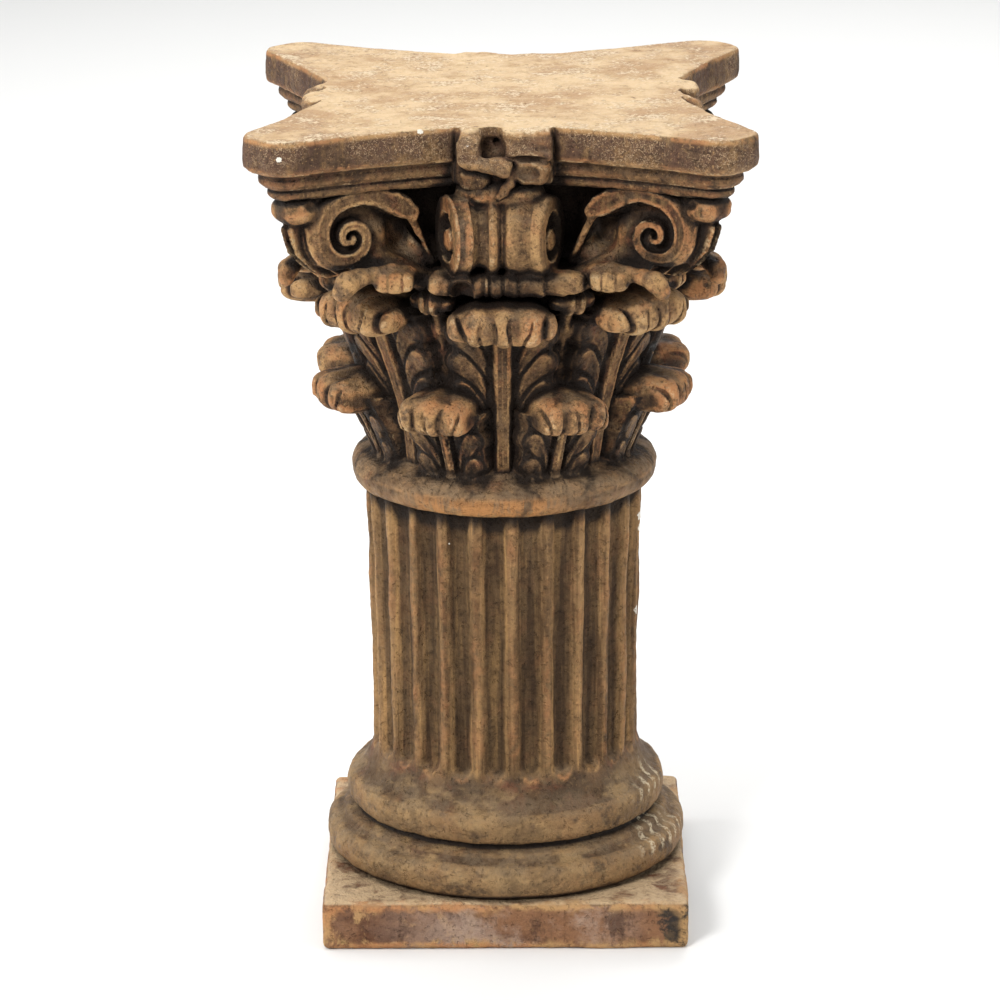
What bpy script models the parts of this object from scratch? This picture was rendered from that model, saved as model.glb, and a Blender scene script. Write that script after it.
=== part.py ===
"""Corinthian column pedestal in cast stone, one casting from plinth to abacus.

Metres, +Z up. The origin is the centre of the underside, and the front is at -Y.
"""

from math import cos, exp, pi, radians, sin, sqrt, tan

import bmesh
import bpy

# The stack of mouldings, from the ground up
PLINTH_WIDTH = 0.2667
PLINTH_HEIGHT = 0.0365
PLINTH_EDGE = 0.0035
LOWER_TORUS_HEIGHT = 0.0285
FILLET_HEIGHT = 0.0037
SCOTIA_HEIGHT = 0.0073
UPPER_TORUS_HEIGHT = 0.022
FLARE_HEIGHT = 0.0205
SHAFT_HEIGHT = 0.202
RING_HEIGHT = 0.025
BELL_HEIGHT = 0.2195
ABACUS_HEIGHT = 0.0450

# The turned parts
SHAFT_RADIUS = 0.0983
SHAFT_SWELL = 0.0037
LOWER_TORUS_REACH = 0.0355
UPPER_TORUS_REACH = 0.0197
FILLET_REACH = 0.0257
SCOTIA_REACH = 0.0137
RING_REACH = 0.0100
BELL_SETBACK = 0.0130
BELL_LIP = 0.018

# The flutes
FLUTE_COUNT = 24
FLUTE_DEPTH = 0.0065
FLUTE_SHARE = 0.80
FLUTE_TURN = radians(-4)

# The two rows of leaves, each a blade that curls over in a blunt tip
LEAF_COUNT = 8
LEAF_STAND = 0.0150
LEAF_EDGE = 0.0100
STEM_WIDTH = 0.010
STEM_RISE = 0.0030
LOWER_LEAF_HEIGHT = 0.0750
LOWER_LEAF_REACH = 0.0530
LOWER_LEAF_WIDTH = 0.059
LOWER_LEAF_FOOT = 0.80
UPPER_LEAF_HEIGHT = 0.1445
UPPER_LEAF_REACH = 0.0740
UPPER_LEAF_WIDTH = 0.076
UPPER_LEAF_FOOT = 0.24
TIP_HEIGHT = 0.034
TIP_DEPTH = 0.040

# The stalks between the upper leaves, and the small leaves on them
STALK_HEIGHT = 0.0660
STALK_GAP = 0.0090
STALK_RADIUS = 0.0065
STALK_STAND = 0.0130
CUP_REACH = 0.053
CUP_WIDTH = 0.100
CUP_HEIGHT = 0.0170
CUP_DROP = 0.0650

# The corner scrolls, one spiral on each side of a horn
SCROLL_DROP = 0.0305
SCROLL_INSET = (0.0443, 0.0392)
SCROLL_TURN = radians(25)
SCROLL_RADIUS = 0.0258
SCROLL_BAND = 0.0094
SCROLL_BEVEL = 0.0055
SCROLL_RELIEF = 0.0075
SCROLL_TURNS = 1.4
SCROLL_TIGHTENING = 0.175
SCROLL_DEPTH = 0.024
HORN_SETBACK = 0.0091
BLOCK_HALF = 0.026
BLOCK_EDGE = 0.0085
BLOCK_ROOT = 0.018
HORN_NOSE = 0.0125

# The scroll in the middle of each side
BOLSTER_DROP = 0.0320
BOLSTER_RADIUS = 0.0275
BOLSTER_WIDTH = 0.074
BOLSTER_STAND = 0.032
BOLSTER_FLARE = 0.35

# The slab on top, and the flower in the middle of each side
ABACUS_WIDTH = 0.3574
HORN_CUT = 0.0284
ABACUS_WAIST = 0.2400
ABACUS_BOW = 1.4
ABACUS_STEP = 0.0055
FASCIA_SHARE = 0.57
UPPER_BAND_SHARE = 0.23
FLOWER_WIDTH = 0.072
FLOWER_STAND = 0.022
FLOWER_DEPTH = 0.042
FLOWER_SLOT = 0.007
FLOWER_SLOT_DEPTH = 0.009

# How far the sharp edges of the mouldings are eased
EASE = 0.002

# How finely the round forms are cut into flat faces
TURNED_SIDES = 40
FACETS_KEPT = 0.51
CASTING = "pedestal"

RING_BASE = (PLINTH_HEIGHT + LOWER_TORUS_HEIGHT + FILLET_HEIGHT + SCOTIA_HEIGHT
             + UPPER_TORUS_HEIGHT + FLARE_HEIGHT + SHAFT_HEIGHT)
BELL_BASE = RING_BASE + RING_HEIGHT
ABACUS_BASE = BELL_BASE + BELL_HEIGHT
TOP = ABACUS_BASE + ABACUS_HEIGHT
NECK_RADIUS = SHAFT_RADIUS + SHAFT_SWELL
BELL_RADIUS = NECK_RADIUS - BELL_SETBACK
HORN_ARRIS = ABACUS_WIDTH / 2 - HORN_CUT
SCROLL_EYE = (HORN_ARRIS - SCROLL_INSET[0], ABACUS_WIDTH / 2 - SCROLL_INSET[1])
SCROLL_LEVEL = ABACUS_BASE - SCROLL_DROP
HORN_RIM = (HORN_ARRIS + ABACUS_WIDTH / 2) / sqrt(2) - HORN_SETBACK
STALK_FOOT = LOWER_LEAF_HEIGHT + STALK_GAP

# How far each carved form runs into what it grows from
SINK = 0.004


def clear_scene():
    for old in list(bpy.data.objects):
        bpy.data.objects.remove(old, do_unlink=True)


def helper_collection():
    """Holds the forms that are joined to the casting."""
    found = bpy.data.collections.new("carved_forms")
    bpy.context.scene.collection.children.link(found)
    found.hide_render = True
    return found


def mesh_object(name, points, faces, collection):
    mesh = bpy.data.meshes.new(name)
    mesh.from_pydata(points, [], faces)
    mesh.update()
    made = bpy.data.objects.new(name, mesh)
    collection.objects.link(made)
    return made


def loft(name, rings, collection):
    """A closed solid through rings of equal length, each end covered by one face."""
    count = len(rings[0])
    points = [point for ring in rings for point in ring]
    faces = []
    for row in range(len(rings) - 1):
        low, high = row * count, (row + 1) * count
        for i in range(count):
            j = (i + 1) % count
            faces.append((low + i, low + j, high + j, high + i))
    faces.append(tuple(reversed(range(count))))
    faces.append(tuple(range(len(points) - count, len(points))))
    made = mesh_object(name, points, faces, collection)
    face_outwards(made.data)
    return as_helper(made)


def face_outwards(mesh):
    """Cuts the faces into triangles, and turns them so that they look outwards."""
    shape = bmesh.new()
    shape.from_mesh(mesh)
    bmesh.ops.triangulate(shape, faces=shape.faces[:])
    if shape.calc_volume(signed=True) < 0:
        bmesh.ops.reverse_faces(shape, faces=shape.faces[:])
    shape.to_mesh(mesh)
    shape.free()


def as_helper(made):
    made.hide_render = True
    made.display_type = "WIRE"
    return made


def around(point, angle):
    x, y, z = point
    return (x * cos(angle) - y * sin(angle), x * sin(angle) + y * cos(angle), z)


def turned(name, profile, sides, collection):
    """A solid of revolution through (radius, height) points, from the bottom up."""
    rings = []
    for radius, height in profile:
        steps = [2 * pi * k / sides for k in range(sides)]
        rings.append([(radius * cos(a), radius * sin(a), height) for a in steps])
    return loft(name, rings, collection)


def torus_profile(inner, reach, low, high, steps):
    """The round of a torus moulding, from its lower to its upper edge."""
    middle, half = (low + high) / 2, (high - low) / 2
    angles = [pi * k / steps - pi / 2 for k in range(steps + 1)]
    return [(inner + (reach - inner) * cos(a), middle + half * sin(a)) for a in angles]


def plinth(collection):
    half, edge = PLINTH_WIDTH / 2, PLINTH_EDGE
    rings = []
    levels = [(0, edge), (edge, 0), (PLINTH_HEIGHT - edge, 0), (PLINTH_HEIGHT, edge)]
    for height, inset in levels:
        side, cut = half - inset, half - inset - edge
        corners = [(side, cut), (cut, side), (-cut, side), (-side, cut),
                   (-side, -cut), (-cut, -side), (cut, -side), (side, -cut)]
        rings.append([(x, y, height) for x, y in corners])
    return loft("plinth", rings, collection)


def base_mouldings(collection):
    """Two tori with a narrow hollow between them, and the flare up to the shaft."""
    level = PLINTH_HEIGHT
    torus_root = SHAFT_RADIUS + FILLET_REACH
    profile = [(torus_root, level - SINK)]
    profile += torus_profile(torus_root, SHAFT_RADIUS + LOWER_TORUS_REACH,
                             level, level + LOWER_TORUS_HEIGHT, 6)
    level += LOWER_TORUS_HEIGHT + FILLET_HEIGHT
    profile.append((torus_root - EASE / 2, level))
    profile.append((SHAFT_RADIUS + SCOTIA_REACH, level + 0.6 * SCOTIA_HEIGHT))
    level += SCOTIA_HEIGHT
    rim = SHAFT_RADIUS + SCOTIA_REACH
    profile += torus_profile(rim, SHAFT_RADIUS + UPPER_TORUS_REACH,
                             level, level + UPPER_TORUS_HEIGHT, 5)[:-1]
    level += UPPER_TORUS_HEIGHT
    for share, part in ((0.0, 0.5), (0.3, 0.22), (1.0, 0.0)):
        profile.append((SHAFT_RADIUS + part * UPPER_TORUS_REACH, level + share * FLARE_HEIGHT))
    return turned("base_mouldings", profile, TURNED_SIDES, collection)


def shaft(collection):
    """The fluted drum. Each flute starts in a round end above the flare."""
    foot = RING_BASE - SHAFT_HEIGHT
    pitch = 2 * pi / FLUTE_COUNT
    half_flute = pitch * FLUTE_SHARE / 2
    round_end = SHAFT_RADIUS * half_flute
    bays = (-1.0, -0.55, 0.0, 0.55, 1.0)
    levels = [(-0.35, 0.0), (0.05, 0.0), (0.35, 0.62), (1.0, 1.0)]
    rings = []
    for share, deep in levels + [(None, 1.0), (None, 1.0)]:
        if share is not None:
            height = foot + share * round_end
            outer = SHAFT_RADIUS
        elif len(rings) == len(levels):
            height = foot + 0.55 * SHAFT_HEIGHT
            outer = SHAFT_RADIUS + 0.3 * SHAFT_SWELL
        else:
            height = RING_BASE + 0.3 * RING_HEIGHT
            outer = NECK_RADIUS
        ring = []
        for k in range(FLUTE_COUNT):
            for bay in bays:
                angle = FLUTE_TURN - pi / 2 + k * pitch + bay * half_flute
                radius = outer - deep * FLUTE_DEPTH * sqrt(max(0.0, 1 - bay * bay))
                ring.append((radius * cos(angle), radius * sin(angle), height))
        rings.append(ring)
    return loft("fluted_shaft", rings, collection)


def necking_ring(collection):
    profile = [(BELL_RADIUS, RING_BASE - SINK)]
    profile += torus_profile(NECK_RADIUS - EASE, NECK_RADIUS + RING_REACH,
                             RING_BASE, BELL_BASE - 1.5 * EASE, 6)
    profile.append((BELL_RADIUS, BELL_BASE + SINK))
    return turned("necking_ring", profile, TURNED_SIDES, collection)


def bell_radius(height):
    """The bell's radius at a height above the ring."""
    share = min(max(height / BELL_HEIGHT, 0), 1)
    return BELL_RADIUS + BELL_LIP * share ** 5


def bell(collection):
    profile = []
    for share in (-0.05, 0.0, 0.5, 0.75, 0.9, 1.0, 1.05):
        profile.append((bell_radius(share * BELL_HEIGHT), BELL_BASE + share * BELL_HEIGHT))
    return turned("bell", profile, 24, collection)


def leaf_outline(side, height, reach, foot):
    """A leaf's side outline at a share of its half width, as (out, up, width share).

    It goes up the blade, into the throat under the tip, round the tip, and back into
    the bell."""
    full = sqrt(1 - 0.55 * side ** 2)
    half_depth, half_tip = TIP_DEPTH / 2, TIP_HEIGHT / 2
    middle = height - half_tip
    blade = LEAF_EDGE + (LEAF_STAND - LEAF_EDGE) * (1 - side * side)
    if side == 0:
        blade += STEM_RISE
    lean = reach - LEAF_STAND - TIP_DEPTH
    outline = [(-SINK, -SINK, foot), (blade, -SINK, foot)]
    outline.append((blade, 0.42 * middle, max(foot, 0.55)))
    outline.append((blade + 0.35 * lean, 0.68 * middle, 1.0))
    nose = reach - 0.22 * reach * (1 - full)
    for degrees in (-140, -85, -40, 0, 40, 85):
        angle = radians(degrees)
        out = nose - half_depth + half_depth * cos(angle)
        up = middle + half_tip * full ** 0.6 * sin(angle)
        outline.append((out, up, 1.0))
    outline.append((-SINK, middle + 0.5 * half_tip, 0.85))
    return outline


def leaf(name, size, foot, azimuth, collection):
    """A leaf that lies on the bell: its side outline, swept across its width."""
    height, reach, width = size
    stem = STEM_WIDTH / width
    rings = []
    for side in (-1.0, -0.8, -0.42, -stem, 0.0, stem, 0.42, 0.8, 1.0):
        ring = []
        for out, up, wide in leaf_outline(side, height, reach, foot):
            radius = bell_radius(up) + out
            across = side * width * wide / 2
            if abs(side) == stem:
                across = side * width / 2
            ring.append(around((across, -radius, BELL_BASE + up), azimuth))
        rings.append(ring)
    return loft(name, rings, collection)


def leaves(collection):
    lower = (LOWER_LEAF_HEIGHT, LOWER_LEAF_REACH, LOWER_LEAF_WIDTH)
    upper = (UPPER_LEAF_HEIGHT, UPPER_LEAF_REACH, UPPER_LEAF_WIDTH)
    pitch = 2 * pi / LEAF_COUNT
    for k in range(LEAF_COUNT):
        leaf("lower_leaf", lower, LOWER_LEAF_FOOT, (k + 0.5) * pitch, collection)
        leaf("upper_leaf", upper, UPPER_LEAF_FOOT, k * pitch, collection)


def bar(name, stations, azimuth, collection, sides=6):
    """A rounded bar through stations of (centre, half depth, half height)."""
    rings = []
    for (x, y, z), depth, height in stations:
        ring = []
        for k in range(sides):
            angle = 2 * pi * k / sides
            ring.append(around((x, y + depth * cos(angle), z + height * sin(angle)), azimuth))
        rings.append(ring)
    return loft(name, rings, collection)


def stalk_head():
    """The middle of the top of the stalk at the left of a side's right half."""
    up = STALK_FOOT + STALK_HEIGHT
    radius = bell_radius(up) + STALK_STAND + STALK_RADIUS
    angle = pi / LEAF_COUNT
    return radius * sin(angle), -radius * cos(angle), BELL_BASE + up


def stalks(collection):
    """The stems that rise between the upper leaves and open under the scrolls."""
    pitch = 2 * pi / LEAF_COUNT
    for k in range(LEAF_COUNT):
        rings = []
        for share, wide in ((0.0, 0.7), (0.5, 0.9), (0.62, 1.3), (0.8, 1.35), (1.0, 2.3)):
            up = STALK_FOOT + share * STALK_HEIGHT
            radius = STALK_RADIUS * wide
            centre = bell_radius(up) + STALK_STAND + radius * 0.4
            ring = []
            for j in range(6):
                angle = 2 * pi * j / 6
                point = (radius * cos(angle), -centre + radius * sin(angle), BELL_BASE + up)
                ring.append(around(point, (k + 0.5) * pitch))
            rings.append(ring)
        loft("stalk", rings, collection)


def cup(azimuth, collection):
    """The scalloped row of small leaves under the middle scroll, rooted in the bell."""
    level = ABACUS_BASE - CUP_DROP
    root = bell_radius(level - BELL_BASE) - SINK
    stations = []
    count = 10
    for k in range(count + 1):
        share = 2 * k / count - 1
        full = 1.0 if k % 2 else 0.8
        x = share * CUP_WIDTH / 2
        front = BELL_RADIUS + CUP_REACH * (1 - 0.12 * share * share) * full ** 0.4
        near, far = sqrt(root * root - x * x), sqrt(front * front - x * x)
        stations.append(((x, -(near + far) / 2, level), (far - near) / 2, full * CUP_HEIGHT / 2))
    return bar("cup_leaves", stations, azimuth, collection)


def scroll_frame(hand):
    """The eye of a corner scroll, and its directions along the face and outwards.

    The hand is -1 for the scroll at the left end of a side, 1 for the one at the right."""
    eye = (hand * SCROLL_EYE[0], -SCROLL_EYE[1], SCROLL_LEVEL)
    along = (-hand * cos(SCROLL_TURN), sin(SCROLL_TURN))
    out = (-hand * sin(SCROLL_TURN), -cos(SCROLL_TURN))
    return eye, along, out


def scroll_path():
    """Points of (along, up, half width, bevel) from the band's cut end to the eye."""
    path = []
    for on, up, half, bevel in ((1.78, 0.52, 0.33, 0.0), (1.28, 0.76, 0.28, 0.0),
                                (0.74, 0.92, 0.22, 0.1)):
        path.append((on * SCROLL_RADIUS, up * SCROLL_RADIUS, half * SCROLL_RADIUS, bevel))
    steps = 16
    for k in range(steps + 1):
        turn = k / steps * 2 * pi * SCROLL_TURNS
        angle = pi / 2 - radians(8) + turn
        radius = SCROLL_RADIUS * exp(-SCROLL_TIGHTENING * turn)
        half = SCROLL_BAND / 2 * (radius / SCROLL_RADIUS) ** 0.5
        bevel = max(0.0, sin(min(turn / 1.5, pi)))
        path.append((radius * cos(angle), radius * sin(angle), half, bevel))
    return path


def scroll(hand, azimuth, collection):
    """One spiral band, standing proud of the corner block, with a sloping outer side."""
    eye, along, out = scroll_frame(hand)
    path = scroll_path()
    rings = []
    for k, (a, up, half, bevel) in enumerate(path):
        before, after = path[max(k - 1, 0)], path[min(k + 1, len(path) - 1)]
        run_a, run_up = after[0] - before[0], after[1] - before[1]
        length = sqrt(run_a * run_a + run_up * run_up)
        side_a, side_up = run_up / length, -run_a / length
        rim = half + bevel * SCROLL_BEVEL
        face, shoulder = 0.04 * SCROLL_RADIUS, -0.35 * SCROLL_RADIUS
        section = ((rim, -SCROLL_DEPTH), (rim, shoulder), (half, -2 * face), (0, face),
                   (-half, -2 * face), (-half, -SCROLL_DEPTH))
        ring = []
        for across, depth in section:
            on = a + across * side_a
            x = eye[0] + on * along[0] + depth * out[0]
            y = eye[1] + on * along[1] + depth * out[1]
            ring.append(around((x, y, eye[2] + up + across * side_up), azimuth))
        rings.append(ring)
    return loft("corner_scroll", rings, collection)


def horn_block(azimuth, collection):
    """The block between the two spirals of a corner. It carries the horn of the slab."""
    eye_along = (SCROLL_EYE[0] + SCROLL_EYE[1]) / sqrt(2)
    eye_aside = (SCROLL_EYE[1] - SCROLL_EYE[0]) / sqrt(2)
    slope = tan(pi / 4 - SCROLL_TURN)
    bottom = SCROLL_LEVEL - 0.66 * SCROLL_RADIUS
    top = ABACUS_BASE + SINK
    root = BELL_RADIUS - 2 * SINK
    size = SCROLL_RADIUS
    stations = ((root, 0.4), ((root + eye_along) / 2, 0.15), (eye_along - 0.55 * size, 0.0),
                (HORN_RIM - size, 0.0), (HORN_RIM - 0.54 * size, 0.3),
                (HORN_RIM - 0.27 * size, 1.0), (HORN_RIM, 1.4), (HORN_RIM - 0.08 * size, 1.8))
    rings = []
    for k, (along, rise) in enumerate(stations):
        plane = eye_aside + (eye_along - along) * slope
        half = max(min(plane - SCROLL_RELIEF * 1.15, BLOCK_HALF), BLOCK_EDGE)
        if k < 2:
            half = BLOCK_ROOT
        shoulder = HORN_NOSE if k > 4 else half
        low = bottom + rise * size
        corners = [(-half, low), (half, low), (shoulder, (low + top) / 2), (shoulder, top),
                   (-shoulder, top), (-shoulder, (low + top) / 2)]
        rings.append([around((x, -along, z), azimuth + pi / 4) for x, z in corners])
    return loft("horn_block", rings, collection)


def under_leaf(hand, azimuth, collection):
    """The small leaf that arches from a stalk to the underside of a corner scroll.

    Each place is a share of the way from the stalk's head to the eye of the scroll, and
    how far it bows out and hangs down from there."""
    head = stalk_head()
    eye = (SCROLL_EYE[0], -SCROLL_EYE[1], SCROLL_LEVEL)
    path = ((0.0, 0.12, 0.1, 0.3), (0.31, 0.57, -0.12, 0.39), (0.55, 0.57, 0.27, 0.41),
            (0.77, 0.43, 0.48, 0.21), (0.97, 0.33, 1.03, 0.33), (1.11, 0.24, 1.55, 0.23))
    stations = []
    for share, bow, down, half in path:
        x, y, z = (a + share * (b - a) for a, b in zip(head, eye))
        centre = (hand * x, y - bow * SCROLL_RADIUS, z - down * SCROLL_RADIUS)
        stations.append((centre, half * 1.3 * SCROLL_RADIUS, half * SCROLL_RADIUS))
    return bar("under_leaf", stations, azimuth, collection)


def bolster(azimuth, collection):
    """The scroll in the middle of a side, a short drum with banded face and wide ends."""
    centre_y = BOLSTER_RADIUS - ABACUS_WAIST / 2 - BOLSTER_STAND
    level = ABACUS_BASE - BOLSTER_DROP
    half = BOLSTER_WIDTH / 2
    bands = ((-1.0, 0.72), (-0.96, 0.95), (-0.72, 1.0), (-0.5, 0.94), (-0.36, 0.86),
             (-0.2, 0.97), (-0.04, 0.87), (0.2, 0.98), (0.75, 1.0), (0.96, 0.95), (1.0, 0.72))
    sides = 12
    rings = []
    for share, full in bands:
        ring = []
        for k in range(sides):
            angle = 2 * pi * k / sides
            x = share * half * (1 + BOLSTER_FLARE * (1 - cos(angle)) / 2)
            radius = BOLSTER_RADIUS * full
            y = centre_y - radius * cos(angle)
            ring.append(around((x, y, level + radius * sin(angle)), azimuth))
        rings.append(ring)
    return loft("middle_scroll", rings, collection)


def side_depth(x):
    """How far a side of the slab stands from the axis, at a place along it."""
    half, waist = ABACUS_WIDTH / 2, ABACUS_WAIST / 2
    return waist + (half - waist) * (abs(x) / HORN_ARRIS) ** ABACUS_BOW


def abacus_outline(setback):
    """The slab's outline: four bowed sides between horns that are cut off at 45 degrees.

    A slot on each side of the flower parts it from the slab's face."""
    near = FLOWER_WIDTH / 2
    far = near + FLOWER_SLOT
    arris = HORN_ARRIS - 0.4 * setback
    draft = EASE / 4
    right = [(0.0, 0), (near - draft, 0), (near, FLOWER_SLOT_DEPTH), (far, FLOWER_SLOT_DEPTH)]
    steps = 4
    for k in range(steps + 1):
        right.append((far + draft + k / steps * (arris - far - draft), 0))
    left = [(-x, deep) for x, deep in reversed(right[1:])]
    outline = []
    for turn in range(4):
        for x, deep in left + right:
            point = (x, setback + deep - side_depth(x), 0)
            outline.append(around(point, turn * pi / 2)[:2])
    return outline


def abacus(collection):
    fascia = TOP - FASCIA_SHARE * ABACUS_HEIGHT
    band = fascia - UPPER_BAND_SHARE * ABACUS_HEIGHT
    levels = ((ABACUS_BASE, 2 * ABACUS_STEP), (band, 2 * ABACUS_STEP), (band, ABACUS_STEP),
              (fascia, ABACUS_STEP), (fascia, 0), (TOP - EASE, 0), (TOP, EASE))
    rings = []
    for height, setback in levels:
        rings.append([(x, y, height) for x, y in abacus_outline(setback)])
    return loft("abacus", rings, collection)


def lump(name, centre, size, azimuth, collection):
    """A low rounded lump, wide, deep and high as size says."""
    stations = []
    for share, full in ((-1.0, 0.45), (-0.6, 0.9), (0.0, 1.0), (0.6, 0.9), (1.0, 0.45)):
        x, y, z = centre
        place = (x + share * size[0] / 2, y, z)
        stations.append((place, full * size[1] / 2, full * size[2] / 2))
    return bar(name, stations, azimuth, collection)


def flower(azimuth, collection):
    """The worn flower on the slab: two upper petals, two lower ones and a tongue."""
    half = FLOWER_WIDTH / 2
    fascia = FASCIA_SHARE * ABACUS_HEIGHT
    middle = FLOWER_DEPTH / 2 - ABACUS_WAIST / 2 - FLOWER_STAND
    petals = ((-0.5, 1.0, TOP - fascia / 2, fascia), (0.52, 0.96, TOP - fascia / 2, fascia),
              (-0.55, 0.75, ABACUS_BASE + 0.27 * ABACUS_HEIGHT, 0.38 * ABACUS_HEIGHT),
              (0.58, 0.8, ABACUS_BASE + 0.27 * ABACUS_HEIGHT, 0.40 * ABACUS_HEIGHT))
    for aside, wide, level, high in petals:
        lump("flower_petal", (aside * half, middle, level), (wide * half, FLOWER_DEPTH, high),
             azimuth, collection)


def capital_sides(collection):
    for turn in range(4):
        azimuth = turn * pi / 2
        horn_block(azimuth, collection)
        bolster(azimuth, collection)
        cup(azimuth, collection)
        flower(azimuth, collection)
        for hand in (-1, 1):
            scroll(hand, azimuth, collection)
            under_leaf(hand, azimuth, collection)


def stone():
    made = bpy.data.materials.new("cast_stone")
    made.use_nodes = True
    shader = made.node_tree.nodes["Principled BSDF"]
    shader.inputs["Base Color"].default_value = (0.16, 0.10, 0.06, 1)
    shader.inputs["Roughness"].default_value = 0.75
    shader.inputs["Metallic"].default_value = 0.0
    made.diffuse_color = (0.16, 0.10, 0.06, 1)
    return made


def build():
    clear_scene()
    forms = helper_collection()
    base_mouldings(forms)
    shaft(forms)
    necking_ring(forms)
    bell(forms)
    leaves(forms)
    stalks(forms)
    capital_sides(forms)
    abacus(forms)
    visible = bpy.data.collections.new("pedestal")
    bpy.context.scene.collection.children.link(visible)
    casting = plinth(visible)
    casting.name = CASTING
    casting.hide_render = False
    casting.display_type = "TEXTURED"
    join = casting.modifiers.new("carved as one", "BOOLEAN")
    join.operation = "UNION"
    join.operand_type = "COLLECTION"
    join.collection = forms
    join.solver = "EXACT"
    facets = casting.modifiers.new("facets", "DECIMATE")
    facets.ratio = FACETS_KEPT
    casting.data.materials.append(stone())


build()
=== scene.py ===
"""Looks of the cast stone pedestal: the worn casting, its finish, the floor, lights and camera.

The plinth, the mouldings and the fluted shaft are made by Geometry Nodes from a profile. The
capital is one blended casting. So one side of it is shaped as a block of stone, to which forms
are added and from which others are cut, and Geometry Nodes repeat its skin round the column.
Metres, +Z up, the front at -Y."""

from itertools import product
from math import ceil, cos, pi, radians, sin, sqrt

import bmesh
import bpy
import numpy as np
from mathutils import Matrix, Vector


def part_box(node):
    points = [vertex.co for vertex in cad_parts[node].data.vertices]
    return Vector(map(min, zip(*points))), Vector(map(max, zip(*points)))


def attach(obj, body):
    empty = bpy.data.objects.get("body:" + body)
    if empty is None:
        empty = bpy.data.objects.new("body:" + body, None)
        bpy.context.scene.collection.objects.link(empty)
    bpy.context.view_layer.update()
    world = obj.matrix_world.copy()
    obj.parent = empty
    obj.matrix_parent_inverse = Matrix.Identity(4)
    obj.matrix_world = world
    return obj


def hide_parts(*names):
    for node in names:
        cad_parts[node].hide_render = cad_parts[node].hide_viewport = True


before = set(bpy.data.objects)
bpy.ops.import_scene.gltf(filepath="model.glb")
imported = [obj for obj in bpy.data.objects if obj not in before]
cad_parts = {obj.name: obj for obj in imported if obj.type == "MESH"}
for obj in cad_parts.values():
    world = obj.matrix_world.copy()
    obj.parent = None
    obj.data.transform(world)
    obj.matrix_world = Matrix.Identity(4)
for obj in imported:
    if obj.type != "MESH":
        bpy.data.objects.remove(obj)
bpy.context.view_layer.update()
NODE = "pedestal"
LOW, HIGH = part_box(NODE)

# The levels of the casting, from the ground up
TOP = HIGH.z
ABACUS_WIDTH = HIGH.x - LOW.x
PLINTH_WIDTH = 0.2667
PLINTH_HEIGHT = 0.0365
SHAFT_FOOT = 0.1185
RING_BASE = 0.3205
BELL_BASE = 0.3455
ABACUS_BASE = TOP - 0.045
SLAB_TOP = TOP + 0.0012

# The turned parts
SHAFT_RADIUS = 0.0983
NECK_RADIUS = 0.1020
BELL_RADIUS = 0.0885
BELL_LIP = 0.018
FLUTE_COUNT = 24
FLUTE_DEPTH = 0.0056
FLUTE_SHARE = 0.68
CREST_FALL = 0.0017
FLUTE_TURN = radians(-4)

# The corner scrolls, the horns and the slab
SCROLL_EYE = Vector((0.1040, -0.1395, ABACUS_BASE - 0.0305))
SCROLL_TURN = radians(25)
HORN_ARRIS = ABACUS_WIDTH / 2 - 0.0284
ABACUS_WAIST = 0.2400
ABACUS_BOW = 1.4

# How fine the block of stone is, how far its creases are rounded, and how many faces stay
STEP = 0.0011
CREASE = 0.0011
GHOSTS = 12
MOST_FACES = 190000
SIDES = 4
ROOT2 = sqrt(2)
TINY = 1e-9

# A form counts in the sum between these distances inside and outside its surface
FELT = (-0.020, 0.012)

# The unevenness of the old mould, as height, length and seed, and how deep edges are chipped
MOULD_RIPPLES = ((0.00045, 0.060, 3), (0.00020, 0.017, 5), (0.00010, 0.006, 8))
CHIP_DEPTH = 0.0011

# How far off the stone is felt to tell a sharp edge
EDGE_REACH = 0.0022


def box(x, y, z):
    """The corners of a box, from its ends along x, y and z."""
    return list(product(x, y, z))


def smooth_step(low, high, value):
    share = np.clip((value - low) / (high - low), 0.0, 1.0)
    return share * share * (3 - 2 * share)


def soft_max(a, b, crease=CREASE):
    """The larger of two distances, with the edge between them rounded."""
    gap = np.clip(crease - np.abs(a - b), 0, None)
    return np.maximum(a, b) + gap * gap / (4 * crease)


def soft_min(a, b, crease=CREASE):
    return -soft_max(-a, -b, crease)


def soft_min_of(parts, crease):
    """The smallest of several distances, joined softly one after the other."""
    found = parts[0]
    for part in parts[1:]:
        found = soft_min(found, part, crease)
    return found


def fold(x, y):
    """Any place, brought to the same place on the front side, as a Block's u and w."""
    u, w = (x - y) / ROOT2, -(x + y) / ROOT2
    back, left = w < 0, u < 0
    return (np.where(left, np.where(back, -u, w), np.where(back, -w, u)),
            np.where(left, np.where(back, -w, -u), np.where(back, u, w)))


def read_map(values, i, j):
    """What a map says between its own points, at any row i and column j."""
    i = np.clip(i, 0, values.shape[0] - 1.001)
    j = np.clip(j, 0, values.shape[1] - 1.001)
    low_i, low_j = i.astype(int), j.astype(int)
    a, b = i - low_i, j - low_j
    return ((1 - a) * (1 - b) * values[low_i, low_j] + a * (1 - b) * values[low_i + 1, low_j]
            + (1 - a) * b * values[low_i, low_j + 1] + a * b * values[low_i + 1, low_j + 1])


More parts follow.
